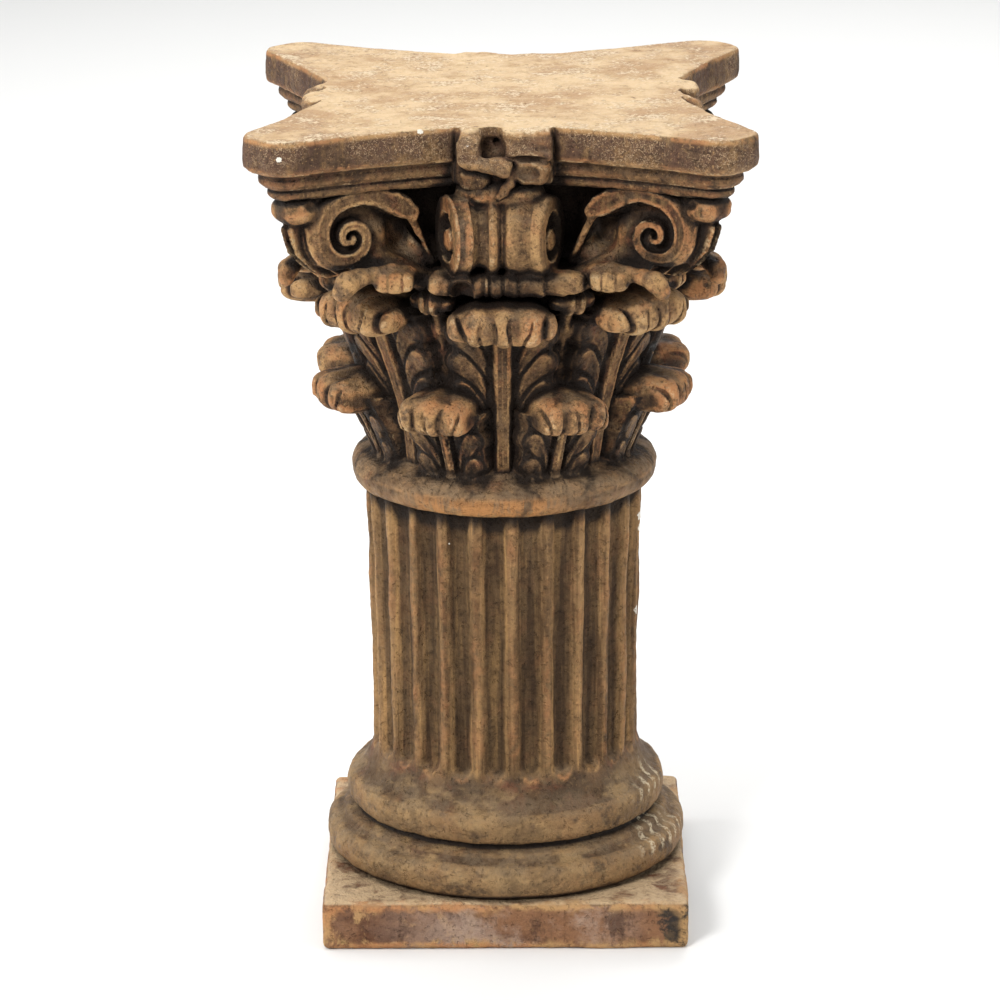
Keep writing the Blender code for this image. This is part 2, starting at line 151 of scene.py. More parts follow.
class Block:
    """One side of the capital as a grid of points, from the left-hand horn to the right-hand one.

    u runs from the axis to the right-hand horn and w to the left-hand one. A few points beyond
    each make the skin meet that of the next side. Forms are summed so that their order and
    their number don't matter, and so that the creases between them come out rounded."""

    def __init__(self, reach, low, high):
        self.start = np.array([-GHOSTS * STEP, -GHOSTS * STEP, low])
        self.low, self.high = low, high
        across = int(ceil(reach / STEP)) + GHOSTS
        self.shape = (across, across, int(ceil((high - low) / STEP)) + 1)
        self.stone = np.zeros(self.shape, np.float32)
        self.hollow = np.zeros(self.shape, np.float32)
        self.distance = None
        self.blade, self.blade_turn = None, 0.0

    def part_near(self, points, margin):
        """The part of the grid round these points: its slices, and x, y and z there."""
        p = np.asarray(points, float)
        placed = np.stack([(p[:, 0] - p[:, 1]) / ROOT2, -(p[:, 0] + p[:, 1]) / ROOT2, p[:, 2]])
        low = np.floor((placed.min(1) - margin - self.start) / STEP).astype(int)
        high = np.ceil((placed.max(1) + margin - self.start) / STEP).astype(int) + 1
        low, high = np.maximum(low, 0), np.minimum(high, self.shape)
        if (high <= low).any():
            return None
        u, w, z = (self.start[i] + STEP * np.arange(low[i], high[i]) for i in range(3))
        u, w = u[:, None, None], w[None, :, None]
        where = tuple(slice(a, b) for a, b in zip(low, high))
        return where, (u - w) / ROOT2, -(u + w) / ROOT2, z[None, None, :]

    def shape_with(self, form, points, turns=(0,), margin=0.008, mirrored=False, cut=False):
        """Adds a form, or cuts it away. It gives the distance to its surface at x, y, z."""
        for turn in turns:
            c, s = cos(turn), sin(turn)
            for hand in (1, -1) if mirrored else (1,):
                turned = [(c * hand * x - s * y, s * hand * x + c * y, z) for x, y, z in points]
                part = self.part_near(turned, margin)
                if part is None:
                    continue
                where, x, y, z = part
                away = form(hand * (c * x + s * y), c * y - s * x, z)
                share = np.exp(-np.clip(away, *FELT) / CREASE)
                (self.hollow if cut else self.stone)[where] += share.astype(np.float32)

    def settle(self):
        """Works out the distance to the stone from all the forms."""
        least = 1e-6
        stone = -CREASE * np.log(self.stone + least)
        hollow = -CREASE * np.log(self.hollow + least)
        self.distance = CREASE * np.logaddexp(stone / CREASE, -hollow / CREASE)
        self.stone = self.hollow = None
        return self

    def distance_at(self, points):
        """The distance to the stone at any points, on any side of the capital."""
        u, w = fold(points[:, 0], points[:, 1])
        placed = (np.stack([u, w, points[:, 2]]).T - self.start) / STEP
        limit = np.array(self.shape) - 1.001
        inside = np.clip(placed, 0, limit)
        outside = np.linalg.norm((placed - inside) * STEP, axis=1)
        base = inside.astype(int)
        share = inside - base
        found = np.zeros(len(points))
        for corner in range(8):
            pick = np.array([(corner >> i) & 1 for i in range(3)])
            weight = np.prod(np.where(pick, share, 1 - share), axis=1)
            i, j, k = (base + pick).T
            found += weight * self.distance[i, j, k]
        return found + outside

    def skin(self):
        """The surface of the stone, as points and four-sided faces facing outwards."""
        solid = self.distance < 0
        cells = tuple(n - 1 for n in self.shape)

        def corner(values, i, j, k):
            return values[i:i + cells[0], j:j + cells[1], k:k + cells[2]]

        count = sum(corner(solid, i, j, k).astype(np.int8)
                    for i in (0, 1) for j in (0, 1) for k in (0, 1))
        crossed = (count > 0) & (count < 8)
        number = np.full(cells, -1)
        place = np.argwhere(crossed)
        number[crossed] = np.arange(len(place))
        total, met = np.zeros((len(place), 3)), np.zeros(len(place))
        corners = [np.array(c) for c in np.ndindex(2, 2, 2)]
        for a in corners:
            for axis in range(3):
                if a[axis]:
                    continue
                b = a.copy()
                b[axis] = 1
                at_a = self.distance[tuple((place + a).T)]
                at_b = self.distance[tuple((place + b).T)]
                crosses = (at_a < 0) != (at_b < 0)
                share = np.where(crosses, at_a / np.where(crosses, at_a - at_b, 1), 0)
                total += np.where(crosses[:, None], a + share[:, None] * (b - a), 0)
                met += crosses
        u, w, z = ((place + total / met[:, None]) * STEP + self.start).T
        points = np.stack([(u - w) / ROOT2, -(u + w) / ROOT2, z], axis=1)
        return points, self.faces_between(solid, number)

    def faces_between(self, solid, number):
        """A four-sided face wherever stone meets air, from the numbers of the cells round it."""
        cells = np.array(number.shape)
        faces = []
        for axis in range(3):
            ahead = [slice(None)] * 3
            behind = [slice(None)] * 3
            ahead[axis], behind[axis] = slice(1, None), slice(None, -1)
            here, there = solid[tuple(behind)], solid[tuple(ahead)]
            edges = np.argwhere(here != there)
            middle = edges + 0.5 * np.eye(3)[axis] - [GHOSTS, GHOSTS, 0]
            kept = (middle[:, 0] > -0.01) & (middle[:, 1] > 0.01)
            kept &= (edges > 0).all(1) & (edges < cells).all(1)
            edges = edges[kept]
            side, other = np.roll(np.eye(3, dtype=int), -axis - 1, axis=0)[:2]
            ring = [edges - side - other, edges - other, edges, edges - side]
            quads = np.stack([number[tuple(cell.T)] for cell in ring], axis=1)
            outward = here[tuple(edges.T)]
            quads[outward] = quads[outward][:, ::-1]
            faces.append(quads)
        return np.concatenate(faces)


def new_object(name, data):
    made = bpy.data.objects.new(name, data)
    bpy.context.scene.collection.objects.link(made)
    return made


def mesh_object(name, points, faces):
    mesh = bpy.data.meshes.new(name)
    mesh.from_pydata(points, [], faces)
    mesh.update()
    return new_object(name, mesh)


def ellipsoid(x, y, z, centre, size, power=2.0):
    """The distance to a rounded lump with half sizes along x, y and z."""
    cx, cy, cz = centre
    a, b, c = size
    x, y, z = x - cx, y - cy, z - cz
    share = (np.abs(x / a) ** power + np.abs(y / b) ** power + np.abs(z / c) ** power)
    share = np.maximum(share, TINY) ** (1 / power)
    length = np.sqrt(x * x + y * y + z * z)
    return np.where(share > 1, length * (1 - 1 / share), (share - 1) * min(size))


def rod(x, y, z, start, end, thick, thin):
    """The distance to a round rod that tapers from one end to the other."""
    run = [b - a for a, b in zip(start, end)]
    length = sum(r * r for r in run)
    x, y, z = x - start[0], y - start[1], z - start[2]
    share = np.clip((x * run[0] + y * run[1] + z * run[2]) / length, 0, 1)
    away = np.sqrt((x - share * run[0]) ** 2 + (y - share * run[1]) ** 2
                   + (z - share * run[2]) ** 2)
    return away - (thick + (thin - thick) * share)


def rods(x, y, z, path):
    """A chain of tapering rods through (x, y, z, radius)."""
    pieces = [rod(x, y, z, a[:3], b[:3], a[3], b[3]) for a, b in zip(path[:-1], path[1:])]
    return soft_min_of(pieces, 0.0025)


def bell_radius(z):
    share = np.clip((z - BELL_BASE) / (ABACUS_BASE - BELL_BASE), 0, 1)
    return BELL_RADIUS + BELL_LIP * share ** 5


def bell(low, high, inset=0.0):
    def form(x, y, z):
        side = np.sqrt(x * x + y * y) - bell_radius(z) + inset
        return soft_max(side, np.maximum(low - z, z - high), 0.002)
    return form


def necking_ring(x, y, z):
    """The round band under the leaves, with a slope that leads up to the bell."""
    out = np.sqrt(x * x + y * y)
    middle, half = (RING_BASE + BELL_BASE) / 2 - 0.0004, (BELL_BASE - RING_BASE) / 2
    core_radius, bulge, power = 0.0985, 0.0135, 2.1
    across = np.abs((out - core_radius) / bulge)
    up = np.abs((z - middle) / half)
    share = np.maximum(across ** power + up ** power, TINY) ** (1 / power)
    round_part = (share - 1) * half
    core = np.maximum(out - core_radius, np.abs(z - middle) - half)
    slope = np.maximum((out - 0.0935 - (0.3505 - z)) / ROOT2, 0.3370 - z)
    return soft_min(np.minimum(round_part, core), slope, 0.004)


class Blade:
    """The blade of a leaf as a map of how far it stands from the axis, across and upwards.

    The stem runs up the middle. On each side leaflets spread from it, each a ridge with a
    vein along it, and their ends make the blade's lobed edge."""

    STEP = 0.0005
    MARGIN = 0.012
    # How far a leaflet stands out at its root, and how much more at its tip
    LOBE, LOBE_GAIN = 0.0034, 0.0036
    # The vein along a leaflet, and the finer ones that run beside it
    VEIN_DEPTH, VEIN_HALF = 0.0016, 0.0012
    FINE_DEPTH, FINE_PITCH = 0.0006, 0.0048
    # The creases where two leaflets meet, and the grooves beside the stem
    MEETING_DEPTH, MEETING_HALF = 0.0014, 0.0018
    GROOVE_DEPTH = 0.0030
    # How far the blade is cupped towards its sides, and how steeply it falls beyond its edge
    CUP = 0.0020
    EDGE_FALL = 8.0

    def __init__(self, lean, half_width, stem, leaflets):
        self.low, self.high = lean[0][0], lean[-1][0]
        self.half = half_width
        across = np.arange(-half_width - self.MARGIN, half_width + self.MARGIN, self.STEP)
        up = np.arange(self.low - self.MARGIN, self.high + self.MARGIN, self.STEP)
        self.start = (across[0], up[0])
        c, z = np.meshgrid(across, up, indexing="ij")
        levels, radii = zip(*lean)
        face = np.interp(z, levels, radii)
        edge = np.full(c.shape, 1.0)
        rise, second = np.zeros(c.shape), np.zeros(c.shape)
        veins = np.zeros(c.shape)
        for root, bend, tip, wide in leaflets:
            reach, share = self.leaflet(np.abs(c), z, root, bend, tip)
            width = wide * (0.52 + 0.48 * share)
            across_it = np.clip(reach / width, 0, 1)
            lobe = (self.LOBE + self.LOBE_GAIN * share) * (1 - across_it ** 2.6)
            fine = 0.5 - 0.5 * np.cos(reach * 2 * pi / self.FINE_PITCH)
            vein = np.exp(-(reach / self.VEIN_HALF) ** 2) * smooth_step(1.0, 0.75, share)
            lobe = lobe - self.VEIN_DEPTH * vein - self.FINE_DEPTH * fine
            veins = np.where(lobe > rise, np.maximum(vein, 0.30 * fine), veins)
            second = np.maximum(second, np.minimum(rise, lobe))
            rise = np.maximum(rise, lobe)
            edge = np.minimum(edge, reach - width)
        ground = np.interp(z, (self.low, self.low + 0.025), (0.55, 0.90)) * half_width
        edge = np.minimum(edge, np.abs(c) - ground)
        meeting = np.exp(-((rise - second) / self.MEETING_HALF) ** 2)
        meeting = meeting * smooth_step(0.0004, 0.0016, rise)
        rise = rise - self.MEETING_DEPTH * meeting
        wide, proud = stem
        groove = self.GROOVE_DEPTH * np.exp(-((np.abs(c) - 1.35 * wide) / (0.35 * wide)) ** 2)
        middle = proud * np.clip(1 - (c / wide) ** 4, 0, 1) ** 0.5 + 0.0004 * np.cos(c * 1500)
        cupped = self.CUP * (c / half_width) ** 2
        surface = face - proud - 0.0010 + cupped + rise - groove * (np.abs(c) > 0.5 * wide)
        surface = np.where(np.abs(c) < wide, np.maximum(surface, face - proud + middle), surface)
        wall = face - self.EDGE_FALL * np.clip(edge, 0, None)
        self.map = soft_min(surface, wall, 0.0012)
        # Where the creases lie, for the painted shade that darkens them
        beside = np.exp(-((np.abs(c) - 1.25 * wide) / (0.30 * wide)) ** 2)
        low_parts = smooth_step(0.0012, 0.0002, rise)
        crease = 0.95 * meeting + 0.45 * low_parts + 0.50 * veins + 0.9 * beside
        self.crease = np.where(np.abs(c) < wide, 0.0, np.clip(crease, 0, 1))
        slope = np.gradient(self.map, self.STEP)
        self.steep = np.sqrt(1 + slope[0] ** 2 + slope[1] ** 2)

    @staticmethod
    def leaflet(c, z, root, bend, tip):
        """How far a point lies from a leaflet's vein, and how far along it."""
        best, where = np.full(c.shape, 1.0), np.zeros(c.shape)
        for share in np.linspace(0, 1, 22):
            a, b, e = (1 - share) ** 2, 2 * share * (1 - share), share ** 2
            vein = [a * root[i] + b * bend[i] + e * tip[i] for i in (0, 1)]
            away = np.hypot(c - vein[0], z - vein[1])
            where = np.where(away < best, share, where)
            best = np.minimum(best, away)
        return best, where

    def read(self, values, c, z):
        return read_map(values, (c - self.start[0]) / self.STEP, (z - self.start[1]) / self.STEP)

    def form(self, x, y, z):
        out = np.sqrt(x * x + y * y)
        c = out * np.arctan2(x, -y)
        c, z = np.broadcast_arrays(c, z)
        face = out - self.read(self.map, c, z)
        ends = np.maximum(self.low - z, z - self.high)
        return soft_max(face / self.read(self.steep, c, z), ends, 0.002)

    def crease_at(self, points, turn):
        """How deep in a crease between leaflets these points lie, on any leaf of the row, for
        painted shade.
        """
        pitch = 2 * pi / 8
        out, level = np.hypot(points[:, 0], points[:, 1]), points[:, 2]
        angle = np.arctan2(points[:, 0], -points[:, 1]) - turn + pitch / 2
        c = out * (angle % pitch - pitch / 2)
        away = np.abs(out - self.read(self.map, c, level))
        on_blade = (level > self.low) & (level < self.high) & (away < 0.0030)
        return np.where(on_blade, self.read(self.crease, c, level), 0.0)

    def corners(self):
        return box((-self.half, self.half), (-0.07, -self.map.max()), (self.low, self.high))


def ribs(across, edges, deep):
    """How far the surface falls between rounded ribs that meet at these places."""
    fall = np.full(across.shape, deep)
    for low, high in zip(edges[:-1], edges[1:]):
        share = np.clip((across - low) / (high - low), 0, 1)
        fall = np.minimum(fall, deep * (1 - (4 * share * (1 - share)) ** 0.34))
    return fall


def leaf_tip(out, level, size, edges, neck):
    """The blunt ribbed tip in which a leaf curls over, and the neck from which it hangs."""
    a, b, h = size

    def form(x, y, z):
        body = ellipsoid(x, y, z + 0.0020 * (x / a) ** 2, (0, -out, level), size, 2.7)
        body = body - 0.0008 * np.sin(x * 330 + 1.3)
        up = (z - level) / h
        fan = x / a * (1 - 0.16 * up) + 0.04 * np.sin(up * 2.5 + x * 230)
        towards = smooth_step(-0.4, 0.4, (-y - out) / b + 0.5 * (up < 0))
        front = smooth_step(0.80, 0.10, up) * towards
        body = body + ribs(fan, edges, 0.0030) * front * smooth_step(1.05, 0.85, np.abs(x / a))
        join = ellipsoid(x, y, z, (0, -neck[0], neck[1]), neck[2], 2.4)
        return soft_min(body, join, 0.006)
    return form


def leaflets(levels, reaches, fall, wide):
    """Leaflets that start beside the stem, rise along it and turn outwards to blunt ends."""
    return [((0.0050 + 0.25 * wide, level - fall), (0.0060 + 0.75 * wide, level - 0.28 * fall),
             (reach - wide, level), wide) for level, reach in zip(levels, reaches)]


# Where the leaves and the forms of a side are repeated, as turns round the axis
LOWER_TURNS = [radians(22.5 + 45 * k) for k in range(-2, 3)]
UPPER_TURNS = [radians(45 * k) for k in range(-2, 3)]
SIDE_TURNS = [radians(90 * k) for k in (-1, 0, 1)]

# Each row's blade, the tip in which it curls over, and what bounds the tip
LOWER_ROW = dict(
    turns=LOWER_TURNS,
    blade=dict(
        lean=((0.3400, 0.0965), (0.3490, 0.0985), (0.3650, 0.1050), (0.3850, 0.1140),
              (0.4000, 0.1210)),
        half_width=0.0290, stem=(0.0040, 0.0036),
        leaflets=leaflets((0.3575, 0.3785, 0.3990), (0.0275, 0.0295, 0.0290), 0.030, 0.0091)),
    tip=dict(out=0.1230, level=0.4005, size=(0.0282, 0.0205, 0.0138),
             edges=(-1.1, -0.74, -0.40, -0.05, 0.34, 0.74, 1.1),
             neck=(0.1020, 0.4030, (0.024, 0.026, 0.0130))),
    bounds=box((-0.033, 0.033), (-0.08, -0.146), (0.383, 0.425)))
UPPER_ROW = dict(
    turns=UPPER_TURNS,
    blade=dict(
        lean=((0.3480, 0.0935), (0.3750, 0.0975), (0.3985, 0.1040), (0.4120, 0.1088),
              (0.4330, 0.1170), (0.4560, 0.1260), (0.4720, 0.1320)),
        half_width=0.0390, stem=(0.0070, 0.0040),
        leaflets=leaflets((0.3720, 0.3930, 0.4150, 0.4370, 0.4590, 0.4790),
                          (0.0265, 0.0335, 0.0375, 0.0400, 0.0400, 0.0395), 0.040, 0.0104)),
    tip=dict(out=0.1405, level=0.4730, size=(0.0376, 0.0220, 0.0145),
             edges=(-1.1, -0.76, -0.40, -0.16, 0.16, 0.50, 0.80, 1.1),
             neck=(0.118, 0.4745, (0.033, 0.030, 0.0115))),
    bounds=box((-0.041, 0.041), (-0.085, -0.165), (0.456, 0.493)))

# A stalk's line as how far out, level and thickness, and the bud at its end
STALK = ((0.098, 0.415, 0.0050), (0.104, 0.438, 0.0040), (0.111, 0.457, 0.0042),
         (0.1130, 0.462, 0.0060), (0.1150, 0.467, 0.0045), (0.1190, 0.476, 0.0060))
STALK_LINE = [(0.0, -out, level, thick) for out, level, thick in STALK]
BUD_MIDDLE = (0.0, -0.1265, 0.4840)


def ring_round(out, low, high):
    """Points that bound everything within this distance of the axis."""
    return box((-out, out), (-out, out), (low, high))


def add_leaves(block, turns, blade, tip, bounds):
    """A row of leaves: the blades, and the tips in which they curl over."""
    block.blade, block.blade_turn = Blade(**blade), turns[0]
    block.shape_with(block.blade.form, block.blade.corners(), turns, 0.004)
    block.shape_with(leaf_tip(**tip), bounds, turns, 0.006)


def stalk(x, y, z):
    """The stem that stands between two leaves, with a folded bud at its end."""
    bud = ellipsoid(x, y, z, BUD_MIDDLE, (0.0165, 0.0130, 0.0095), 2.2)
    folds = np.cos((x + 0.003 * np.sin(x * 200)) * 520)
    bud = bud + 0.0013 * folds * smooth_step(0.118, 0.130, -y)
    return soft_min(rods(x, y, z, STALK_LINE), bud, 0.004)


def lower_leaves():
    """The ring and the lower row of leaves, on a core inside the bell."""
    block = Block(0.150, RING_BASE - 0.004, 0.440)
    block.shape_with(bell(RING_BASE + 0.004, 0.430, 0.004), ring_round(0.115, 0.30, 0.44))
    block.shape_with(necking_ring, ring_round(0.115, 0.30, 0.36))
    add_leaves(block, **LOWER_ROW)
    return block.settle()


def upper_leaves():
    """The bell, the upper row of leaves and the stalks between them."""
    block = Block(0.172, 0.3380, 0.505)
    block.shape_with(bell(0.3420, 0.500), ring_round(0.115, 0.33, 0.51))
    add_leaves(block, **UPPER_ROW)
    stalk_places = [place[:3] for place in STALK_LINE] + [BUD_MIDDLE]
    block.shape_with(stalk, stalk_places, LOWER_TURNS, 0.018)
    return block.settle()


def garland(x, y, z):
    """The scalloped row of small leaves under the middle scroll."""
    reach = np.sqrt(x * x + y * y)
    middle, half_depth, half_height = 0.134, 0.0135, 0.0088
    level = 0.4995 + 0.0008 * np.sin(x * 400)
    bar = np.sqrt(((reach - middle) / half_depth) ** 2 + ((z - level) / half_height) ** 2) - 1
    bar = bar * half_height
    edges = (-0.052, -0.0365, -0.0205, -0.0127, -0.0085, 0.0007, 0.0115, 0.0304, 0.052)
    bar = bar + ribs(x, edges, 0.0030) * smooth_step(0.120, 0.132, reach)
    shelf = np.maximum(reach - 0.136, np.abs(z - 0.5005) - 0.0055)
    both = soft_min(bar, shelf, 0.003)
    return soft_max(both, np.abs(x) - 0.050, 0.006)


def garland_knobs(x, y, z):
    return soft_min(ellipsoid(x, y, z, (-0.0430, -0.1330, 0.5005), (0.0095, 0.0110, 0.0072), 2.6),
                    ellipsoid(x, y, z, (0.0465, -0.1330, 0.5010), (0.0125, 0.0110, 0.0075), 2.8))


def garland_hollow(x, y, z):
    """The dark arch that opens at the left of the garland."""
    return ellipsoid(x, y, z, (-0.0275, -0.1440, 0.4955), (0.0078, 0.0130, 0.0078), 2.3)


UNDER_LEAF = ((0.0440, -0.1080, 0.4880, 0.0070), (0.0560, -0.1180, 0.4990, 0.0066),
              (0.0660, -0.1270, 0.5050, 0.0070), (0.0770, -0.1330, 0.5080, 0.0068),
              (0.0890, -0.1390, 0.5085, 0.0050), (0.0990, -0.1450, 0.5075, 0.0058),
              (0.1070, -0.1500, 0.5050, 0.0074), (0.1110, -0.1510, 0.4990, 0.0060))


def under_leaf(x, y, z):
    """The small leaf that arches from a stalk to the underside of a corner scroll."""
    arch = rods(x, y, z, UNDER_LEAF)
    block = ellipsoid(x, y, z, (0.0745, -0.1385, 0.5030), (0.0140, 0.0085, 0.0074), 3.0)
    block = block + ribs(x, (0.058, 0.0690, 0.0790, 0.092), 0.0016) * smooth_step(0.137, 0.142, -y)
    root = rod(x, y, z, (0.0500, -0.1100, 0.4960), (0.0900, -0.1200, 0.5180), 0.0080, 0.0080)
    return soft_min(soft_min(arch, block, 0.004), root, 0.006)


class Spiral:
    """A corner scroll in its own plane: the distance to the band, seen from the front."""

    STEP = 0.0005
    SIZE = 0.066
    # The band's middle line and half its width at each quarter turn, from the top inwards
    RADII = (0.0268, 0.0200, 0.0152, 0.0122, 0.0084, 0.0060, 0.0036, 0.0022)
    HALVES = (0.0053, 0.0046, 0.0041, 0.0038, 0.0033, 0.0028, 0.0022, 0.0018)
    # Where the band widens like a trumpet, as along, up and half width
    TRUMPET = ((0.0470, 0.0135, 0.0052), (0.0405, 0.0180, 0.0078), (0.0320, 0.0228, 0.0082),
               (0.0210, 0.0272, 0.0066), (0.0100, 0.0286, 0.0056))
    # The bevel along the band's outer edge, the crown of its face, and how far back it reaches
    BEVEL, BEVEL_DEPTH = 0.0062, 0.0050
    CROWN = 0.0013
    BACK = -0.030

    def __init__(self):
        line = list(self.TRUMPET)
        quarters = np.arange(len(self.RADII))
        steps = 150
        for k in range(steps):
            turn = k / (steps - 1) * quarters[-1]
            radius = np.interp(turn, quarters, self.RADII)
            angle = pi / 2 * (1 + turn)
            line.append((radius * cos(angle), radius * sin(angle),
                         np.interp(turn, quarters, self.HALVES)))
        place = np.arange(-self.SIZE, self.SIZE, self.STEP)
        a, up = np.meshgrid(place, place, indexing="ij")
        edge = np.full(a.shape, 1.0)
        outer = np.zeros(a.shape)
        middle = np.zeros(a.shape)
        for k in range(len(line) - 1):
            (a0, u0, w0), (a1, u1, w1) = line[k], line[k + 1]
            run_a, run_u = a1 - a0, u1 - u0
            length = run_a ** 2 + run_u ** 2
            share = np.clip(((a - a0) * run_a + (up - u0) * run_u) / length, 0, 1)
            away = np.hypot(a - a0 - share * run_a, up - u0 - share * run_u)
            side = (a - a0) * run_u - (up - u0) * run_a
            half = w0 + share * (w1 - w0)
            turn = max(k - len(self.TRUMPET), 0) / steps * quarters[-1]
            bevel = sin(pi * min(turn / 2, 1.0))
            nearer = away - half < edge
            outer = np.where(nearer, np.where(side > 0, bevel, 0.0), outer)
            middle = np.where(nearer, np.clip(away / half, 0, 1), middle)
            edge = np.where(nearer, away - half, edge)
        self.edge, self.outer, self.middle = edge, outer, middle

    def read(self, values, a, up):
        return read_map(values, (a + self.SIZE) / self.STEP, (up + self.SIZE) / self.STEP)

    def place(self, x, y, z):
        """A point's place along the scroll's face, up it, and out of it."""
        c, s = cos(SCROLL_TURN), sin(SCROLL_TURN)
        x, y = x - SCROLL_EYE.x, y - SCROLL_EYE.y
        a, out = -c * x + s * y, -s * x - c * y
        return np.broadcast_arrays(a, z - SCROLL_EYE.z, out)

    def band(self, x, y, z):
        a, up, out = self.place(x, y, z)
        share = np.clip(-out / self.BEVEL_DEPTH, 0, 1)
        side = self.read(self.edge, a, up) - self.BEVEL * share * self.read(self.outer, a, up)
        crown = out + self.CROWN * (1 - self.read(self.middle, a, up) ** 2)
        return soft_max(soft_max(side, crown, 0.0020), self.BACK - out, 0.002)

    def ground(self, x, y, z):
        """The hollowed face between the turns, and the stem that widens from them."""
        a, up, out = self.place(x, y, z)
        from_axis = np.hypot(a, up)
        deep = 0.0090 + 0.0080 * smooth_step(-0.004, 0.016, up + 0.3 * a)
        disc = np.maximum(from_axis - 0.0230, out + deep)
        c, s = 0.0607 - 0.0440, -0.0200 - 0.0110
        length = sqrt(c * c + s * s)
        right = ((a - 0.0440) * -s + (up - 0.0110) * c) / length
        hollow = 0.0300 * np.exp(-((a - 0.0430) / 0.0095) ** 2 - ((up + 0.0020) / 0.0120) ** 2)
        front = out + 0.0062 + 0.0090 * smooth_step(-0.004, 0.018, up) + hollow
        stem = np.maximum(np.maximum(right, front), np.maximum(up - 0.024, -0.026 - up))
        stem = np.maximum(stem, 0.004 - a)
        both = soft_min(disc, stem, 0.003)
        return soft_max(both, -0.026 - out, 0.002)

    def ridge(self, x, y, z):
        """The thin rib that runs down the stem."""
        start, end = (0.0465, 0.0100, -0.0030), (0.0635, -0.0240, -0.0050)
        return rod(*self.place(x, y, z), start, end, 0.0026, 0.0022)

    def corners(self):
        c, s = cos(SCROLL_TURN), sin(SCROLL_TURN)
        found = []
        for a in (-0.036, 0.062):
            for out in (self.BACK, 0.002):
                x = SCROLL_EYE.x - c * a - s * out
                y = SCROLL_EYE.y + s * a - c * out
                found += [(x, y, SCROLL_EYE.z + up) for up in (-0.033, 0.033)]
        return found


def horn_block(x, y, z):
    """The block between the two scrolls of a corner, ribbed below and with a tongue above."""
    along, aside = (x - y) / ROOT2, (x + y) / ROOT2
    rim = np.interp(z, (0.500, 0.508, 0.517, 0.526, 0.544, 0.558, 0.570),
                    (0.170, 0.182, 0.193, 0.2020, 0.2085, 0.2110, 0.2110))
    depth, half = 0.0240, 0.0086
    from_nose = np.clip(along - rim + depth, 0, None)
    plan = np.sqrt((from_nose / depth) ** 2 + (aside / half) ** 2) - 1
    around_nose = np.arctan2(aside / half, from_nose / depth)
    ribbed = 0.0020 * np.cos(around_nose * 9.0) * smooth_step(0.549, 0.543, z)
    body = np.maximum(plan * half + ribbed, 0.500 - z)
    wedge = np.abs(aside) - 0.010 - 0.35 * np.clip(0.178 - along, 0, 0.03)
    wedge = np.maximum(np.maximum(wedge, along - 0.190), 0.516 - z)
    tongue = ellipsoid(along, aside, z, (0.2030, 0.0, 0.5565), (0.0135, 0.0170, 0.0098), 2.4)
    return soft_min(soft_min(body, wedge, 0.004), tongue, 0.002)


def horn_hollow(x, y, z):
    """The dark recess between a tongue and the top of a scroll."""
    return ellipsoid(x, y, z, (0.1235, -0.1540, 0.5605), (0.0100, 0.0095, 0.0042), 2.0)


def bolster(x, y, z):
    """The scroll in the middle of a side: a banded drum that flares towards the back."""
    centre_y, level, radius = -0.1250, 0.5330, 0.0278
    out, up = -(y - centre_y), z - level
    away = np.sqrt(out * out + up * up)
    face = out / np.maximum(away, 1e-6)
    half, x = 0.0293, x + 0.0015
    wide = x / (1 + 0.58 * np.clip(1 - out / radius, 0, 2) / 2) / half
    bands = np.interp(wide, (-1.0, -0.955, -0.90, -0.76, -0.62, -0.59, -0.42, -0.27, -0.20, -0.14,
                             -0.06, 0.06, 0.15, 0.22, 0.42, 0.66, 0.76, 0.90, 1.0),
                      (-0.3, 1.0, -0.1, 0.5, 0.2, -1.6, -4.6, -3.0, 0.3, 0.8,
                       -0.6, -3.9, -1.4, 0.0, 0.5, 0.1, 1.0, 0.8, -0.8)) * 0.0013
    drum = away - radius - bands * smooth_step(-0.9, 0.1, face)
    end = (np.abs(wide) - 1) * half
    knob = np.sqrt((out + 0.0040) ** 2 + (up + 0.0045) ** 2)
    turn_edge = np.sqrt((out + 0.0005) ** 2 + (up + 0.0010) ** 2)
    recess = 0.0058 * smooth_step(0.0178, 0.0155, turn_edge) * smooth_step(0.0080, 0.0100, knob)
    button = 0.0016 * smooth_step(0.0030, 0.0080, knob) * (knob < 0.0095)
    return soft_max(drum, end + recess + button, 0.0016)


def bolster_root(x, y, z):
    """What ties the middle scroll to the bell and to the foot of the flower."""
    back = np.maximum(np.abs(x) - 0.026, np.maximum(0.512 - z, z - 0.566))
    back = np.maximum(back, -y - 0.122)
    foot = ellipsoid(x, y, z, (-0.001, -0.1180, 0.5625), (0.031, 0.019, 0.0100), 2.5)
    return soft_min(back, foot, 0.004)


